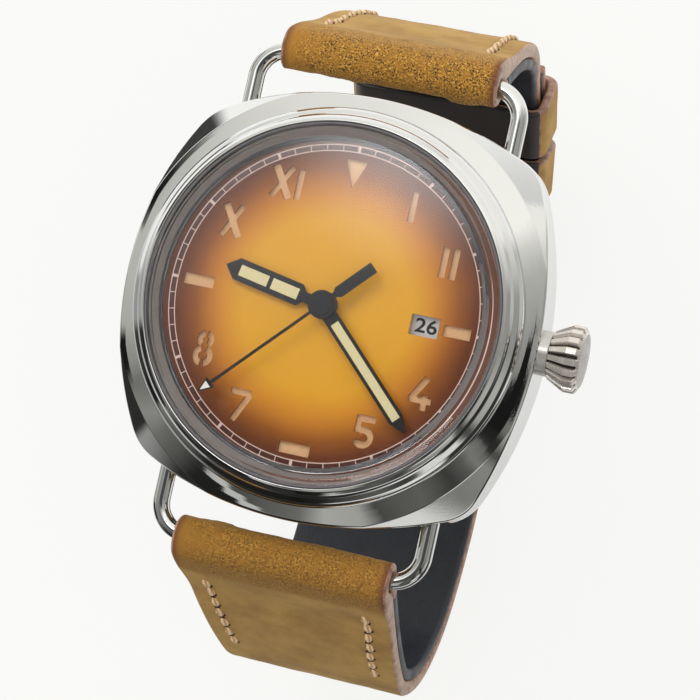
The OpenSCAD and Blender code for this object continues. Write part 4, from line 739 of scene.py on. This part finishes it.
def secondsMark():
    # the pale triangle on the arrow
    base, tip = pointer["length"] - pointer["from"], pointer["length"] - pointer["to"]
    flat = softCorners([[base, -pointer["half"]], [tip, 0], [base, pointer["half"]]], 0.05)
    angle = math.radians(90 - pointer["clock"])
    x = flat[:, 0] * math.cos(angle) - flat[:, 1] * math.sin(angle)
    y = flat[:, 0] * math.sin(angle) + flat[:, 1] * math.cos(angle)
    rows = [np.stack([x, y, np.full_like(x, dialZ + z)], -1) for z in (pointer["low"], pointer["high"])]
    return makePiece("secondsMark", rows, wrapColumns=True, capRows=True)


dress(secondsMark(), white, "seconds")


# date numbers
date = {"radius": 10.5, "height": 1.45, "capital": 0.72, "stroke": 0.035, "z": -0.895, "widening": 1.18,
        "days": 31, "shown": 26}


def dateNumbers():
    # the day numbers of the date disc, upright where each one passes the window
    grown = []
    for day in range(1, date["days"] + 1):
        text = bpy.data.curves.new("day", "FONT")
        text.body, text.size = str(day), date["height"] * mm / date["capital"]
        text.offset = date["stroke"] * mm
        text.align_x, text.align_y = "CENTER", "CENTER"
        holder = placed("day", text)
        seen = holder.evaluated_get(bpy.context.evaluated_depsgraph_get())
        flat = bpy.data.meshes.new_from_object(seen)
        bpy.data.objects.remove(holder)
        atWindow = Matrix.Translation((date["radius"] * mm, 0, (dialZ + date["z"]) * mm))
        flat.transform(atWindow @ Matrix.Diagonal((date["widening"], 1, 1, 1)))
        turnBy = math.radians((date["shown"] - day) * 360 / date["days"])
        flat.transform(Matrix.Rotation(turnBy, 4, "Z"))
        grown.append(flat)
    return joinMeshes("dateNumbers", grown)


dress(dateNumbers(), ink, "date")
print("date made")


# strap
strap = {"width": 23.4, "endWidth": 20.4, "narrowing": 26.0, "leather": 1.7, "leatherEnd": 1.2,
         "lining": 1.4, "liningEnd": 0.9, "foldFit": 0.12, "foldThin": 0.8, "gap": 0.12,
         "liningStart": 4.5, "soft": 0.45, "tailStart": 27.5, "tailEnd": 2.5,
         "thinFrom": 18, "thinOver": 18, "tailThinOver": 6}
# the way of each half's seam, between leather and lining: lengths in mm, each with its turn in degrees
shortStretches = [(10.3, -4), (9, -15), (7, -38), (21, -32)]
dropStretches = [(10, 1), (14, 8), (23.5, 88), (12, 22)]
flatLength = 16.3
riseStretches = [(flatLength, 0), (4, 21), (4, -21), (7.05, 0)]


def walk(start, stretches, step=0.25):
    # each stretch has a length and a turn: rows of y, z, heading in radians, distance
    rows, at = [np.array([start])], np.array(start, float)
    for length, bend in stretches:
        bend = math.radians(bend)
        t = np.linspace(0, 1, max(2, int(length / step)))[1:]
        a = at[2] + bend * t / 2
        chord = length * t * np.sinc(bend * t / (2 * math.pi))
        moved = [chord * np.cos(a), chord * np.sin(a), bend * t, length * t]
        part = at + np.stack(moved, -1)
        rows.append(part)
        at = part[-1]
    return np.vstack(rows)


def leftOf(heading):
    # the direction square to a heading, on its left
    return np.stack([-np.sin(heading), np.cos(heading)], -1)


def offset(route, distance):
    # moved to the left of travel by a distance
    return route[:, :2] + distance * leftOf(route[:, 2])


wireZ = dialZ + wire["z"]


def halfWidth(z):
    # the strap narrows evenly from the lugs down, then keeps its width
    more = np.clip(1 - (wireZ - z) / strap["narrowing"], 0, 1)
    return (strap["endWidth"] + (strap["width"] - strap["endWidth"]) * more) / 2


shortRoute = walk((wire["barY"], wireZ, math.radians(-63), 0), shortStretches)
longRoute = walk((-wire["barY"], wireZ, math.radians(-119), 0), dropStretches + riseStretches)
flatEnd = sum(length for length, bend in dropStretches) + flatLength
shortLength = shortRoute[-1, 3]


def thinning(layer, share):
    # thickness of a layer that thins towards its end
    return strap[layer] + (strap[layer + "End"] - strap[layer]) * np.clip(share, 0, 1)


def thickShort(s, layer):
    # the half at 12 o'clock
    return thinning(layer, (s - strap["thinFrom"]) / strap["thinOver"])


def thickLong(s, layer):
    # the half at 6 o'clock
    return thinning(layer, (s - flatEnd) / strap["tailThinOver"])


def tailShift(s):
    # how far the seam of the tail lies outside the seam of the short half
    return thickShort(s, "leather") + strap["gap"] + strap["liningEnd"]


beside = (shortRoute[:, 3] <= shortLength - strap["tailEnd"]) & (shortRoute[:, 3] >= strap["tailStart"])
tailPart = shortRoute[beside][::-1]
tailLine = offset(tailPart, tailShift(tailPart[:, 3])[:, None])


def resampled(line, step):
    # points at even distances along a line, lightly smoothed, with heading and distance
    for _ in range(3):
        line = np.vstack([line[:1], (line[:-2] + 2 * line[1:-1] + line[2:]) / 4, line[-1:]])
    far = distances(line)
    s = np.linspace(0, far[-1], max(8, int(far[-1] / step)))
    yz = np.stack([np.interp(s, far, line[:, k]) for k in range(2)], -1)
    ahead = np.gradient(yz, axis=0)
    return np.column_stack([yz, np.unwrap(np.arctan2(ahead[:, 1], ahead[:, 0])), s])


def joinedRoute():
    # the long half's way to the buckle, and on along its tail
    start, end = longRoute[-1, :2], tailLine[0]
    between = start + (end - start) * np.linspace(0, 1, 12)[1:-1, None]
    return resampled(np.vstack([longRoute[:, :2], between, tailLine]), 0.3)


wholeLong = joinedRoute()


def band(name, line, normal, thick, s, inset=0.0, across=56, waveSeed=0, swell=None, rough=0.05):
    # a flat strip with soft edges: line is its middle in the YZ plane, normal points to its outer face
    half = halfWidth(line[:, 1])[:, None] - inset
    r = np.minimum(strap["soft"], thick * 0.42)[:, None]
    corner = np.linspace(0, math.pi / 2, 5)
    rising, falling = np.sin(corner), np.cos(corner)
    flat = np.linspace(-1, 1, across)[1:-1]
    none, h = 0 * flat, thick[:, None] / 2
    span = (half - r) * flat
    x = [half - r + r * rising, half - r + r * falling, -span,
         -(half - r + r * rising), -(half - r + r * falling), span]
    y = [(h - r) + r * falling, -(h - r) - r * rising, -h + none,
         -(h - r) - r * falling, (h - r) + r * rising, h + none]
    edge = [rising, falling ** 0.5, none, rising ** 0.5, falling ** 0.5, none]
    x, y = np.concatenate(x, 1), np.concatenate(y, 1)
    edge = np.broadcast_to(np.concatenate(edge)[None], x.shape)
    far = s[:, None]
    wobble = softNoise(far * 0.35 + 7, x * 0.3 + 9, waveSeed)
    wobble = wobble + 0.6 * softNoise(far * 1.1, x * 1.0, waveSeed + 1)
    out = np.sign(y) * (1 - edge)
    y = y + rough * wobble * out
    if swell is not None:
        y = y + swell(far, x) * np.clip(out, 0, 1)
    grid = np.stack([x, line[:, :1] + normal[:, :1] * y, line[:, 1:] + normal[:, 1:] * y], -1)
    places = np.stack([far + 0 * x, x, edge], -1)
    return makePiece(name, grid, wrapColumns=True, capRows=True, places=places, sharp=60)


def ease(t):
    # smooth step from 0 to 1
    t = np.clip(t, 0, 1)
    return t * t * (3 - 2 * t)


def foldRise(s):
    # how far the fold round the wire lifts the outer face
    return (wire["r"] + strap["foldFit"]) * (1 - ease(s / 9))


def foldedLeather(name, route, side, thick, swell, seed, step=0.3):
    # one sheet: the flap inside, round the wire, then along the outer face.
    # side is 1 where outside is left of travel
    flapT, start, thin, full = strap["lining"], strap["liningStart"], strap["foldThin"], strap["leather"]
    core = wire["r"] + strap["foldFit"]
    head = route[(route[:, 3] <= start - 0.15) & (route[:, 3] > 0.3)][::-1]
    near = 1 - ease(head[:, 3] / 2.5)
    flap = offset(head, -side * (flapT / 2 * (1 - near) + (core + thin / 2) * near)[:, None])
    flapThick = flapT * (1 - near) + thin * near
    turnedBy = np.linspace(0, 1, 40)[1:-1]
    turnThick = thin + (full - thin) * turnedBy
    angle = route[0, 2] + side * math.pi * (1.5 - turnedBy)
    spoke = np.stack([np.cos(angle), np.sin(angle)], -1)
    turnRound = route[0, :2] + (core + turnThick / 2)[:, None] * spoke
    outer = thick + foldRise(route[:, 3])
    inner = core * (1 - ease(route[:, 3] / 3.2))
    body = offset(route, side * ((outer + inner) / 2)[:, None])
    line = np.vstack([flap, turnRound, body])
    far = distances(line)
    road = resampled(line, step)
    share = road[:, 3] / road[-1, 3]
    t = np.interp(share, far / far[-1], np.concatenate([flapThick, turnThick, outer - inner]))
    s = road[:, 3] - far[len(flap) + len(turnRound)]
    return band(name, road[:, :2], side * leftOf(road[:, 2]), t, s, waveSeed=seed, swell=swell)


tear = {"at": 5.4, "reach": 1.5, "stepWidth": 0.7, "end": 5.6, "fade": 3.0, "fray": 0.12, "fineFray": 0.08,
        "puff": 0.08, "puffAt": 2, "puffReach": 6}


def foldSwell(step, drop, seed):
    # the torn lower edge of the fold: it hangs lower past a step, and frays all along
    def swell(s, x):
        edge = np.clip(1 - np.abs(s + tear["at"]) / tear["reach"], 0, 1)
        past = (x - step) * np.sign(step)
        hang = drop * np.clip(past / tear["stepWidth"] + 0.5, 0, 1)
        hang = hang * np.clip((tear["end"] - past) / tear["fade"], 0, 1)
        fray = tear["fray"] * softNoise(x * 0.8, s * 0 + 3, seed)
        fray = fray + tear["fineFray"] * softNoise(x * 3.1, s * 0 + 9, seed + 1)
        near = np.clip(1 - np.abs(s + tear["puffAt"]) / tear["puffReach"], 0, 1)
        return edge * (hang + fray) + tear["puff"] * softNoise(x * 0.4, s * 0.4, seed + 2) * near

    return swell


leatherTop = foldedLeather("strapTopLeather", shortRoute, 1, thickShort(shortRoute[:, 3], "leather"),
                           foldSwell(6.3, 0.55, 5), 11)
dress(leatherTop, leatherFinish, "case", ["strap_12_leather"])
leatherBottom = foldedLeather("strapBottomLeather", wholeLong, -1, thickLong(wholeLong[:, 3], "leather"),
                              foldSwell(-6.0, 0.5, 6), 21)
dress(leatherBottom, leatherFinish, "case", ["strap_6_leather"])


def liningBand(name, route, side, thick, seed):
    # the dark layer on the inner side, from the end of the fold on
    part = route[:, 3] >= strap["liningStart"]
    route, thick = route[part], thick[part]
    line = offset(route, (-side * thick / 2)[:, None])
    normal = -side * leftOf(route[:, 2])
    return band(name, line, normal, thick * 0.985, route[:, 3], 0.03, waveSeed=seed, rough=0.03)


dress(liningBand("strapTopLining", shortRoute, 1, thickShort(shortRoute[:, 3], "lining"), 31),
      liningFinish, "case", ["strap_12_lining"])
dress(liningBand("strapBottomLining", wholeLong, -1, thickLong(wholeLong[:, 3], "lining"), 41),
      liningFinish, "case", ["strap_6_lining"])


stitch = {"step": 2.35, "count": 7, "length": 1.5, "thick": 0.37, "inset": 2.6, "proud": 0.1, "holeShade": 0.34,
          "holeDepth": 0.09, "slant": (4, 14), "stray": 0.08, "firstTop": 5, "firstLow": 5.8}


def stitches(name, route, side, thick, first, seed):
    # short fat arcs of thread that dive into the leather at both ends, each end in a dark dent that carries
    # the painted shade of the stitch hole
    rng = np.random.default_rng(seed)
    t = np.linspace(-1, 1, 13)[:, None]
    angle = np.linspace(0, 2 * math.pi, 10, endpoint=False)
    v = np.linspace(-0.96, 0.96, 7)[:, None, None]
    turn = np.linspace(0, 2 * math.pi, 14, endpoint=False)[None, :, None]
    grids, dents = [], []
    for sign in (-1, 1):
        for spot in first + stitch["step"] * np.arange(stitch["count"]):
            mid = np.array([np.interp(spot, route[:, 3], route[:, k]) for k in range(3)])
            lift = np.interp(spot, route[:, 3], thick) + foldRise(spot)
            ahead = np.array([0, math.cos(mid[2]), math.sin(mid[2])])
            out = side * np.array([0, -math.sin(mid[2]), math.cos(mid[2])])
            slant = math.radians(rng.uniform(*stitch["slant"]))
            lean = math.cos(slant) * ahead + math.sin(slant) * np.array([1, 0, 0])
            stray = rng.uniform(-stitch["stray"], stitch["stray"])
            aside = sign * (halfWidth(mid[1]) - stitch["inset"]) + stray
            home = np.array([aside, mid[0], mid[1]]) + out * lift
            path = home + lean * t * stitch["length"] / 2 + out * (stitch["proud"] * (1 - 2.2 * t ** 4))
            tangent = np.gradient(path, axis=0)
            tangent /= np.linalg.norm(tangent, axis=1, keepdims=True)
            across = np.cross(tangent, out)
            across /= np.linalg.norm(across, axis=1, keepdims=True)
            upward = np.cross(across, tangent)
            twist = 1 + 0.07 * np.cos(2 * (angle[None] + t * 3))
            radius = (stitch["thick"] * np.sqrt(1 - 0.72 * t ** 2) * twist)[..., None]
            ring = (np.cos(angle)[None, :, None] * across[:, None]
                    + np.sin(angle)[None, :, None] * upward[:, None])
            grids.append(path[:, None] + radius * ring)
            square = np.cross(lean, out)
            for end in (-1, 1):
                middle = home + lean * end * (stitch["length"] / 2 + 0.1)
                wide = np.sqrt(1 - v * v) * stitch["holeShade"]
                flat = 1.1 * np.cos(turn) * lean + np.sin(turn) * square
                dents.append(middle + wide * flat + v * stitch["holeDepth"] * out)
    return [[makePiece(name + kind + str(i), g, wrapColumns=True, capRows=True) for i, g in enumerate(group)]
            for kind, group in (("thread", grids), ("dent", dents))]


def mergePieces(name, pieces):
    # several objects as one
    meshes = [piece.data for piece in pieces]
    for piece in pieces:
        bpy.data.objects.remove(piece)
    return joinMeshes(name, meshes)


topThick, lowThick = thickShort(shortRoute[:, 3], "leather"), thickLong(wholeLong[:, 3], "leather")
sewnTop = stitches("sewnTop", shortRoute, 1, topThick, stitch["firstTop"], 3)
sewnLow = stitches("sewnLow", wholeLong, -1, lowThick, stitch["firstLow"], 4)
dress(mergePieces("strapStitches", sewnTop[0] + sewnLow[0]), threadFinish, "case", ["stitches"])
dress(mergePieces("stitchHoleShade", sewnTop[1] + sewnLow[1]), holeShadeFinish, "case")
print("strap made")


# keepers and buckle
keeper = {"length": 6.6, "wall": 1.1, "inner": 20.9, "gap": 0.45, "fromBar": 6.3, "apart": 1.2, "soft": 0.3,
          "bend": 1.3}
keeper["fixed"] = shortLength - keeper["fromBar"]
keeper["sliding"] = keeper["fixed"] - keeper["length"] - keeper["apart"]


def keeperLoop(name, s, seed):
    # a flat strip carried round the strap as a closed loop with round corners
    row = shortRoute[np.argmin(np.abs(shortRoute[:, 3] - s))]
    half, w = keeper["length"] / 2, keeper["wall"] / 2
    low = thickShort(s, "lining") + keeper["gap"]
    aside, under = keeper["inner"] / 2 + w, -low - w
    over = tailShift(s) + strap["leatherEnd"] + keeper["gap"] + w
    corners = [[aside, under], [aside, over], [-aside, over], [-aside, under]]
    loop = filledIn(softCorners(corners, keeper["bend"], 10, 0.3), 0.5)
    ahead = np.roll(loop, -1, 0) - np.roll(loop, 1, 0)
    ahead /= np.linalg.norm(ahead, axis=1, keepdims=True)
    out = np.stack([ahead[:, 1], -ahead[:, 0]], -1)
    rect = softCorners([[-half, -w], [half, -w], [half, w], [-half, w]], keeper["soft"], 6, 0.1)
    rect = filledIn(rect, 0.5)
    along, lift = rect[None, :, 0], rect[None, :, 1]
    lift = lift * (1 + 0.05 * softNoise(distances(loop)[:, None] * 0.4, along * 0.5 + 3, seed))
    x, d = (loop[:, k:k + 1] + out[:, k:k + 1] * lift for k in range(2))
    along = along + 0 * x
    forward, outward = np.array([math.cos(row[2]), math.sin(row[2])]), leftOf(row[2])
    grid = np.stack([x] + [row[k] + d * outward[k] + along * forward[k] for k in range(2)], -1)
    edge = np.clip((np.abs(along) - half + 0.28) / 0.2, 0, 1)
    edge = np.maximum(edge, (lift < 0) * 0.7)
    # the outer face under the strap is marked 2, which the leather paints near-black as painted shade
    edge = np.where((lift > 0) & (loop[:, 1:] < -low - 0.2), 2.0, edge)
    places = np.stack([20 + 0 * x, x, edge], -1)
    return makePiece(name, grid, wrapRows=True, wrapColumns=True, places=places, sharp=60)


dress(keeperLoop("fixedKeeper", keeper["fixed"], 51), leatherFinish, "case", ["fixed_keeper"])
dress(keeperLoop("slidingKeeper", keeper["sliding"], 52), leatherFinish, "keeper",
      ["sliding_keeper"])

barLow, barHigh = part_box("buckle_bar")
barY, barZ = (barLow.y + barHigh.y) / 2 / mm, (barLow.z + barHigh.z) / 2 / mm
buckle = {"rod": 0.85, "reach": 9.4, "eye": 1.25, "eyeBore": 0.71, "bend": 1.6, "barR": 0.69, "barEnd": 0.84,
          "aside": 0.5, "lift": 0.05}
sideX = strap["endWidth"] / 2 + buckle["aside"] + buckle["rod"]
frontY, frontZ = barY - buckle["reach"], buckle["rod"] + buckle["lift"]


def buckleFrame():
    # a U of round rod in the plane through the hinge bar and the front bar, with an eye at each end
    span, bend = math.hypot(barY - frontY, barZ - frontZ), buckle["bend"]
    slope = np.array([(barY - frontY) / span, (barZ - frontZ) / span])
    right = np.vstack([[[sideX, span]], arcPoints((sideX - bend, bend), bend, 0, -90, 16)])
    flat = np.vstack([right, right[::-1] * [-1, 1]])
    path = np.stack([flat[:, 0], frontY + flat[:, 1] * slope[0], frontZ + flat[:, 1] * slope[1]], -1)
    pieces = [tube("frameRod", path, buckle["rod"], up=(0, -slope[1], slope[0]))]
    bore, eye = buckle["eyeBore"], buckle["eye"]
    for k in (-1, 1):
        near, far = k * sideX - buckle["rod"], k * sideX + buckle["rod"]
        outline = [[bore, near], [eye, near], [eye, far], [bore, far]]
        pieces.append(turned("eye" + str(k), outline, 0.15, 48, True, (barY, barZ)))
    return mergePieces("buckleFrame", pieces)


dress(buckleFrame(), steel, "case", ["buckle_frame"])
barEnd, barR = sideX + buckle["barEnd"], buckle["barR"]
barOutline = [[0.0001, -barEnd], [barR, -barEnd], [barR, barEnd], [0.0001, barEnd]]
hingeBar = turned("hingeBar", barOutline, [0.001, 0.15, 0.15, 0.001], 48, True, (barY, barZ))
dress(hingeBar, steel, "case", ["buckle_bar"])


# floor and light
def floorFinish():
    # the camera sees it almost evenly pale. Polished steel sees dark and bright patches on it, each set by
    # its heading and its distance from the middle, which give the steel the dark shapes of the photograph
    f = Finish("paleFloor", rough=0.8)
    x, y = f.parts(f.place())[:2]
    seen = f.node("ShaderNodeLightPath", out="Is Camera Ray")
    shade = (y - x * 0.3).ramp(-110, -35, 0.02, 0.85)
    turn = y.math("ARCTAN2", x)
    away = (x * x + y * y).math("SQRT")
    # dark at 10 o'clock, half dark from 3 to 2 o'clock, dark from 9 to 8 o'clock beyond a slanting edge
    atTen = abs(turn - math.radians(152)).ramp(0.16, 0.24, 1, 0) * (away > 85) * away.ramp(138, 150, 1, 0)
    atTwo = turn.window(-0.3, 0, 0.6, 0.75) * away.ramp(60, 100)
    atEight = turn.window(-3.0, -2.93, -2.6, -2.55) * (away > turn.ramp(-2.9, -2.62, 122, 148))
    shade = shade * (1 - atTen * 0.97) * (1 - atEight * 0.97) * (1 - atTwo * 0.45)
    # darker further out on the side of 6 o'clock, with a bright patch far out round 5 o'clock
    shade = shade * (1 - away.ramp(55, 110, 0, 0.65) * y.ramp(0, 50, 1, 0))
    atFive = turn.window(-1.62, -1.5, -0.85, -0.75) * away.ramp(220, 290)
    f.set(colour=f.blend(seen, shade + atFive * 0.8, tint(250, 250, 248)))
    glow = f.node("ShaderNodeEmission", sockets={0: tint(247, 247, 245), 1: 1.0})
    return f.mixedWith(glow, seen * 0.92)


floorMesh = bpy.data.meshes.new("floor")
floorMesh.from_pydata([(-3, -3, 0), (3, -3, 0), (3, 3, 0), (-3, 3, 0)], [], [(0, 1, 2, 3)])
floor = placed("floor", floorMesh)
floor.data.materials.append(floorFinish().material)

# what polished steel sees of the room, by heading: 0 is 3 o'clock, 90 is 12 o'clock
lowTones = [(-180, 0.60), (-170, 0.52), (-160, 0.20), (-152, 0.32), (-146, 0.18), (-138, 0.10), (-130, 0.02),
            (-100, 0.01), (-92, 0.02), (-84, 0.06), (-70, 0.12), (-61, 0.05), (-56, 0.22), (-46, 0.26),
            (-38, 0.30), (-33, 0.06), (-26, 0.45), (-15, 0.52), (0, 0.35), (20, 0.38), (32, 0.75),
            (45, 1.1), (90, 1.1), (125, 0.95), (150, 0.65), (165, 0.62), (180, 0.60)]
highTones = [(-180, 0.32), (-150, 0.24), (-136, 0.16), (-122, 0.08), (-104, 0.18), (-94, 0.50), (-82, 0.44),
             (-76, 0.08), (-66, 0.14), (-54, 0.05), (-46, 0.12), (-42, 0.24), (-37, 0.16), (-35, 0.03),
             (-30, 0.03), (-25, 0.20), (-10, 0.28), (4, 0.38), (20, 0.48), (30, 0.56), (40, 0.85),
             (48, 1.2), (85, 1.15), (110, 0.98), (140, 0.74), (180, 0.36)]

# straight bars in that room. Headings run from 0 to 1, from 9 o'clock by way of 6 o'clock, and heights up
# to 1. Four edges say where a bar starts, is full, fades and ends; with two heights it reaches the floor
darkBar = (0.012, 0.012, 0.012)
bars = [{"headings": (0.025, 0.036, 0.08, 0.09), "heights": (0.245, 0.262), "colour": darkBar},
        {"headings": (0.885, 0.9, 0.968, 0.978), "heights": (0.2, 0.235), "colour": darkBar},
        {"headings": (0.242, 0.258, 0.36, 0.38), "heights": (0.02, 0.05), "colour": (0.85, 0.85, 0.84)},
        {"headings": (0.335, 0.35, 0.395, 0.405), "heights": (0.12, 0.2, 0.42, 0.46),
         "colour": (0.85, 0.85, 0.84)},
        {"headings": (0.12, 0.16, 0.21, 0.23), "heights": (0.435, 0.442, 0.468, 0.476),
         "colour": (0.6, 0.6, 0.59)}]


def skyLight():
    # even light, brighter from behind; polished steel sees the room's tones instead, by heading and height,
    # with dark and bright bars in them, and a lamp in a haze overhead
    sky = bpy.data.worlds.new("sky")
    bpy.context.scene.world = sky
    sky.use_nodes = True
    f = Finish(tree=sky.node_tree)
    toward = f.node("ShaderNodeTexCoord", out="Generated")
    x, y, z = f.parts(toward)
    drift = f.noise(toward, 2.4, 2, 0.5) - 0.5
    heading = y.math("ARCTAN2", x) / (2 * math.pi) + 0.5 + drift * 0.05

    def toned(tones):
        # a slightly warm grey that changes with the heading
        stops = [((degrees + 180) / 360, (tone, tone, tone * 0.96)) for degrees, tone in tones]
        return f.ramp(heading, *stops)

    low, high = toned(lowTones), toned(highTones)
    room = f.blend(z.ramp(0.42, 0.5), low, high)
    lower = abs(heading - 0.5).ramp(0, 0.06, 0.682, 0.661)
    upper = heading.ramp(0.44, 0.565, 0.731, 0.681)
    streak = (z - lower).ramp(0, 0.005) * (upper - z).ramp(0, 0.005)
    room = f.blend(streak * heading.window(0.4, 0.425, 0.528, 0.556), room, darkBar)
    for bar in bars:
        heights = bar["heights"]
        inside = z.window(*heights) if len(heights) == 4 else z.ramp(*heights, 1, 0)
        room = f.blend(inside * heading.window(*bar["headings"]), room, bar["colour"])
    offX, offY = x + 0.2, y - 0.26
    lamp = (offX * offX + offY * offY).math("SQRT").ramp(0.0, 0.17, 6.5, 0)
    haze = lamp + (y - x * 0.35).ramp(0.02, 0.3, 0.05, 1.4)
    glossy = f.node("ShaderNodeLightPath", out="Is Glossy Ray")
    clear = f.node("ShaderNodeLightPath", out="Is Transmission Ray")
    spread = f.node("ShaderNodeLightPath", out="Diffuse Depth")
    mirror = f.blend(z.ramp(0.87, 0.92), room, haze * (1 - clear) + 0.03)
    sharp = glossy.math("MAXIMUM", clear) * (spread < 0.5)
    seen = f.blend(sharp, y.ramp(-1, 1, 0.72, 1.25), mirror)
    f.tree.links.new(seen.socket, f.tree.nodes["Background"].inputs[0])


skyLight()
lamps = [{"name": "keyLamp", "at": (-0.35, 0.45, 0.75), "size": 0.5, "power": 3.2},
         {"name": "fillLamp", "at": (0.5, -0.2, 0.8), "size": 0.6, "power": 1.2}]
for lamp in lamps:
    data = bpy.data.lights.new(lamp["name"], "AREA")
    data.size, data.energy = lamp["size"], lamp["power"]
    holder = placed(lamp["name"], data)
    toward = Vector(lamp["at"])
    holder.matrix_world = Matrix.Translation(toward) @ toward.to_track_quat("Z", "Y").to_matrix().to_4x4()
    holder.visible_glossy = False
bpy.context.scene.view_settings.view_transform = "Standard"
print("light made")
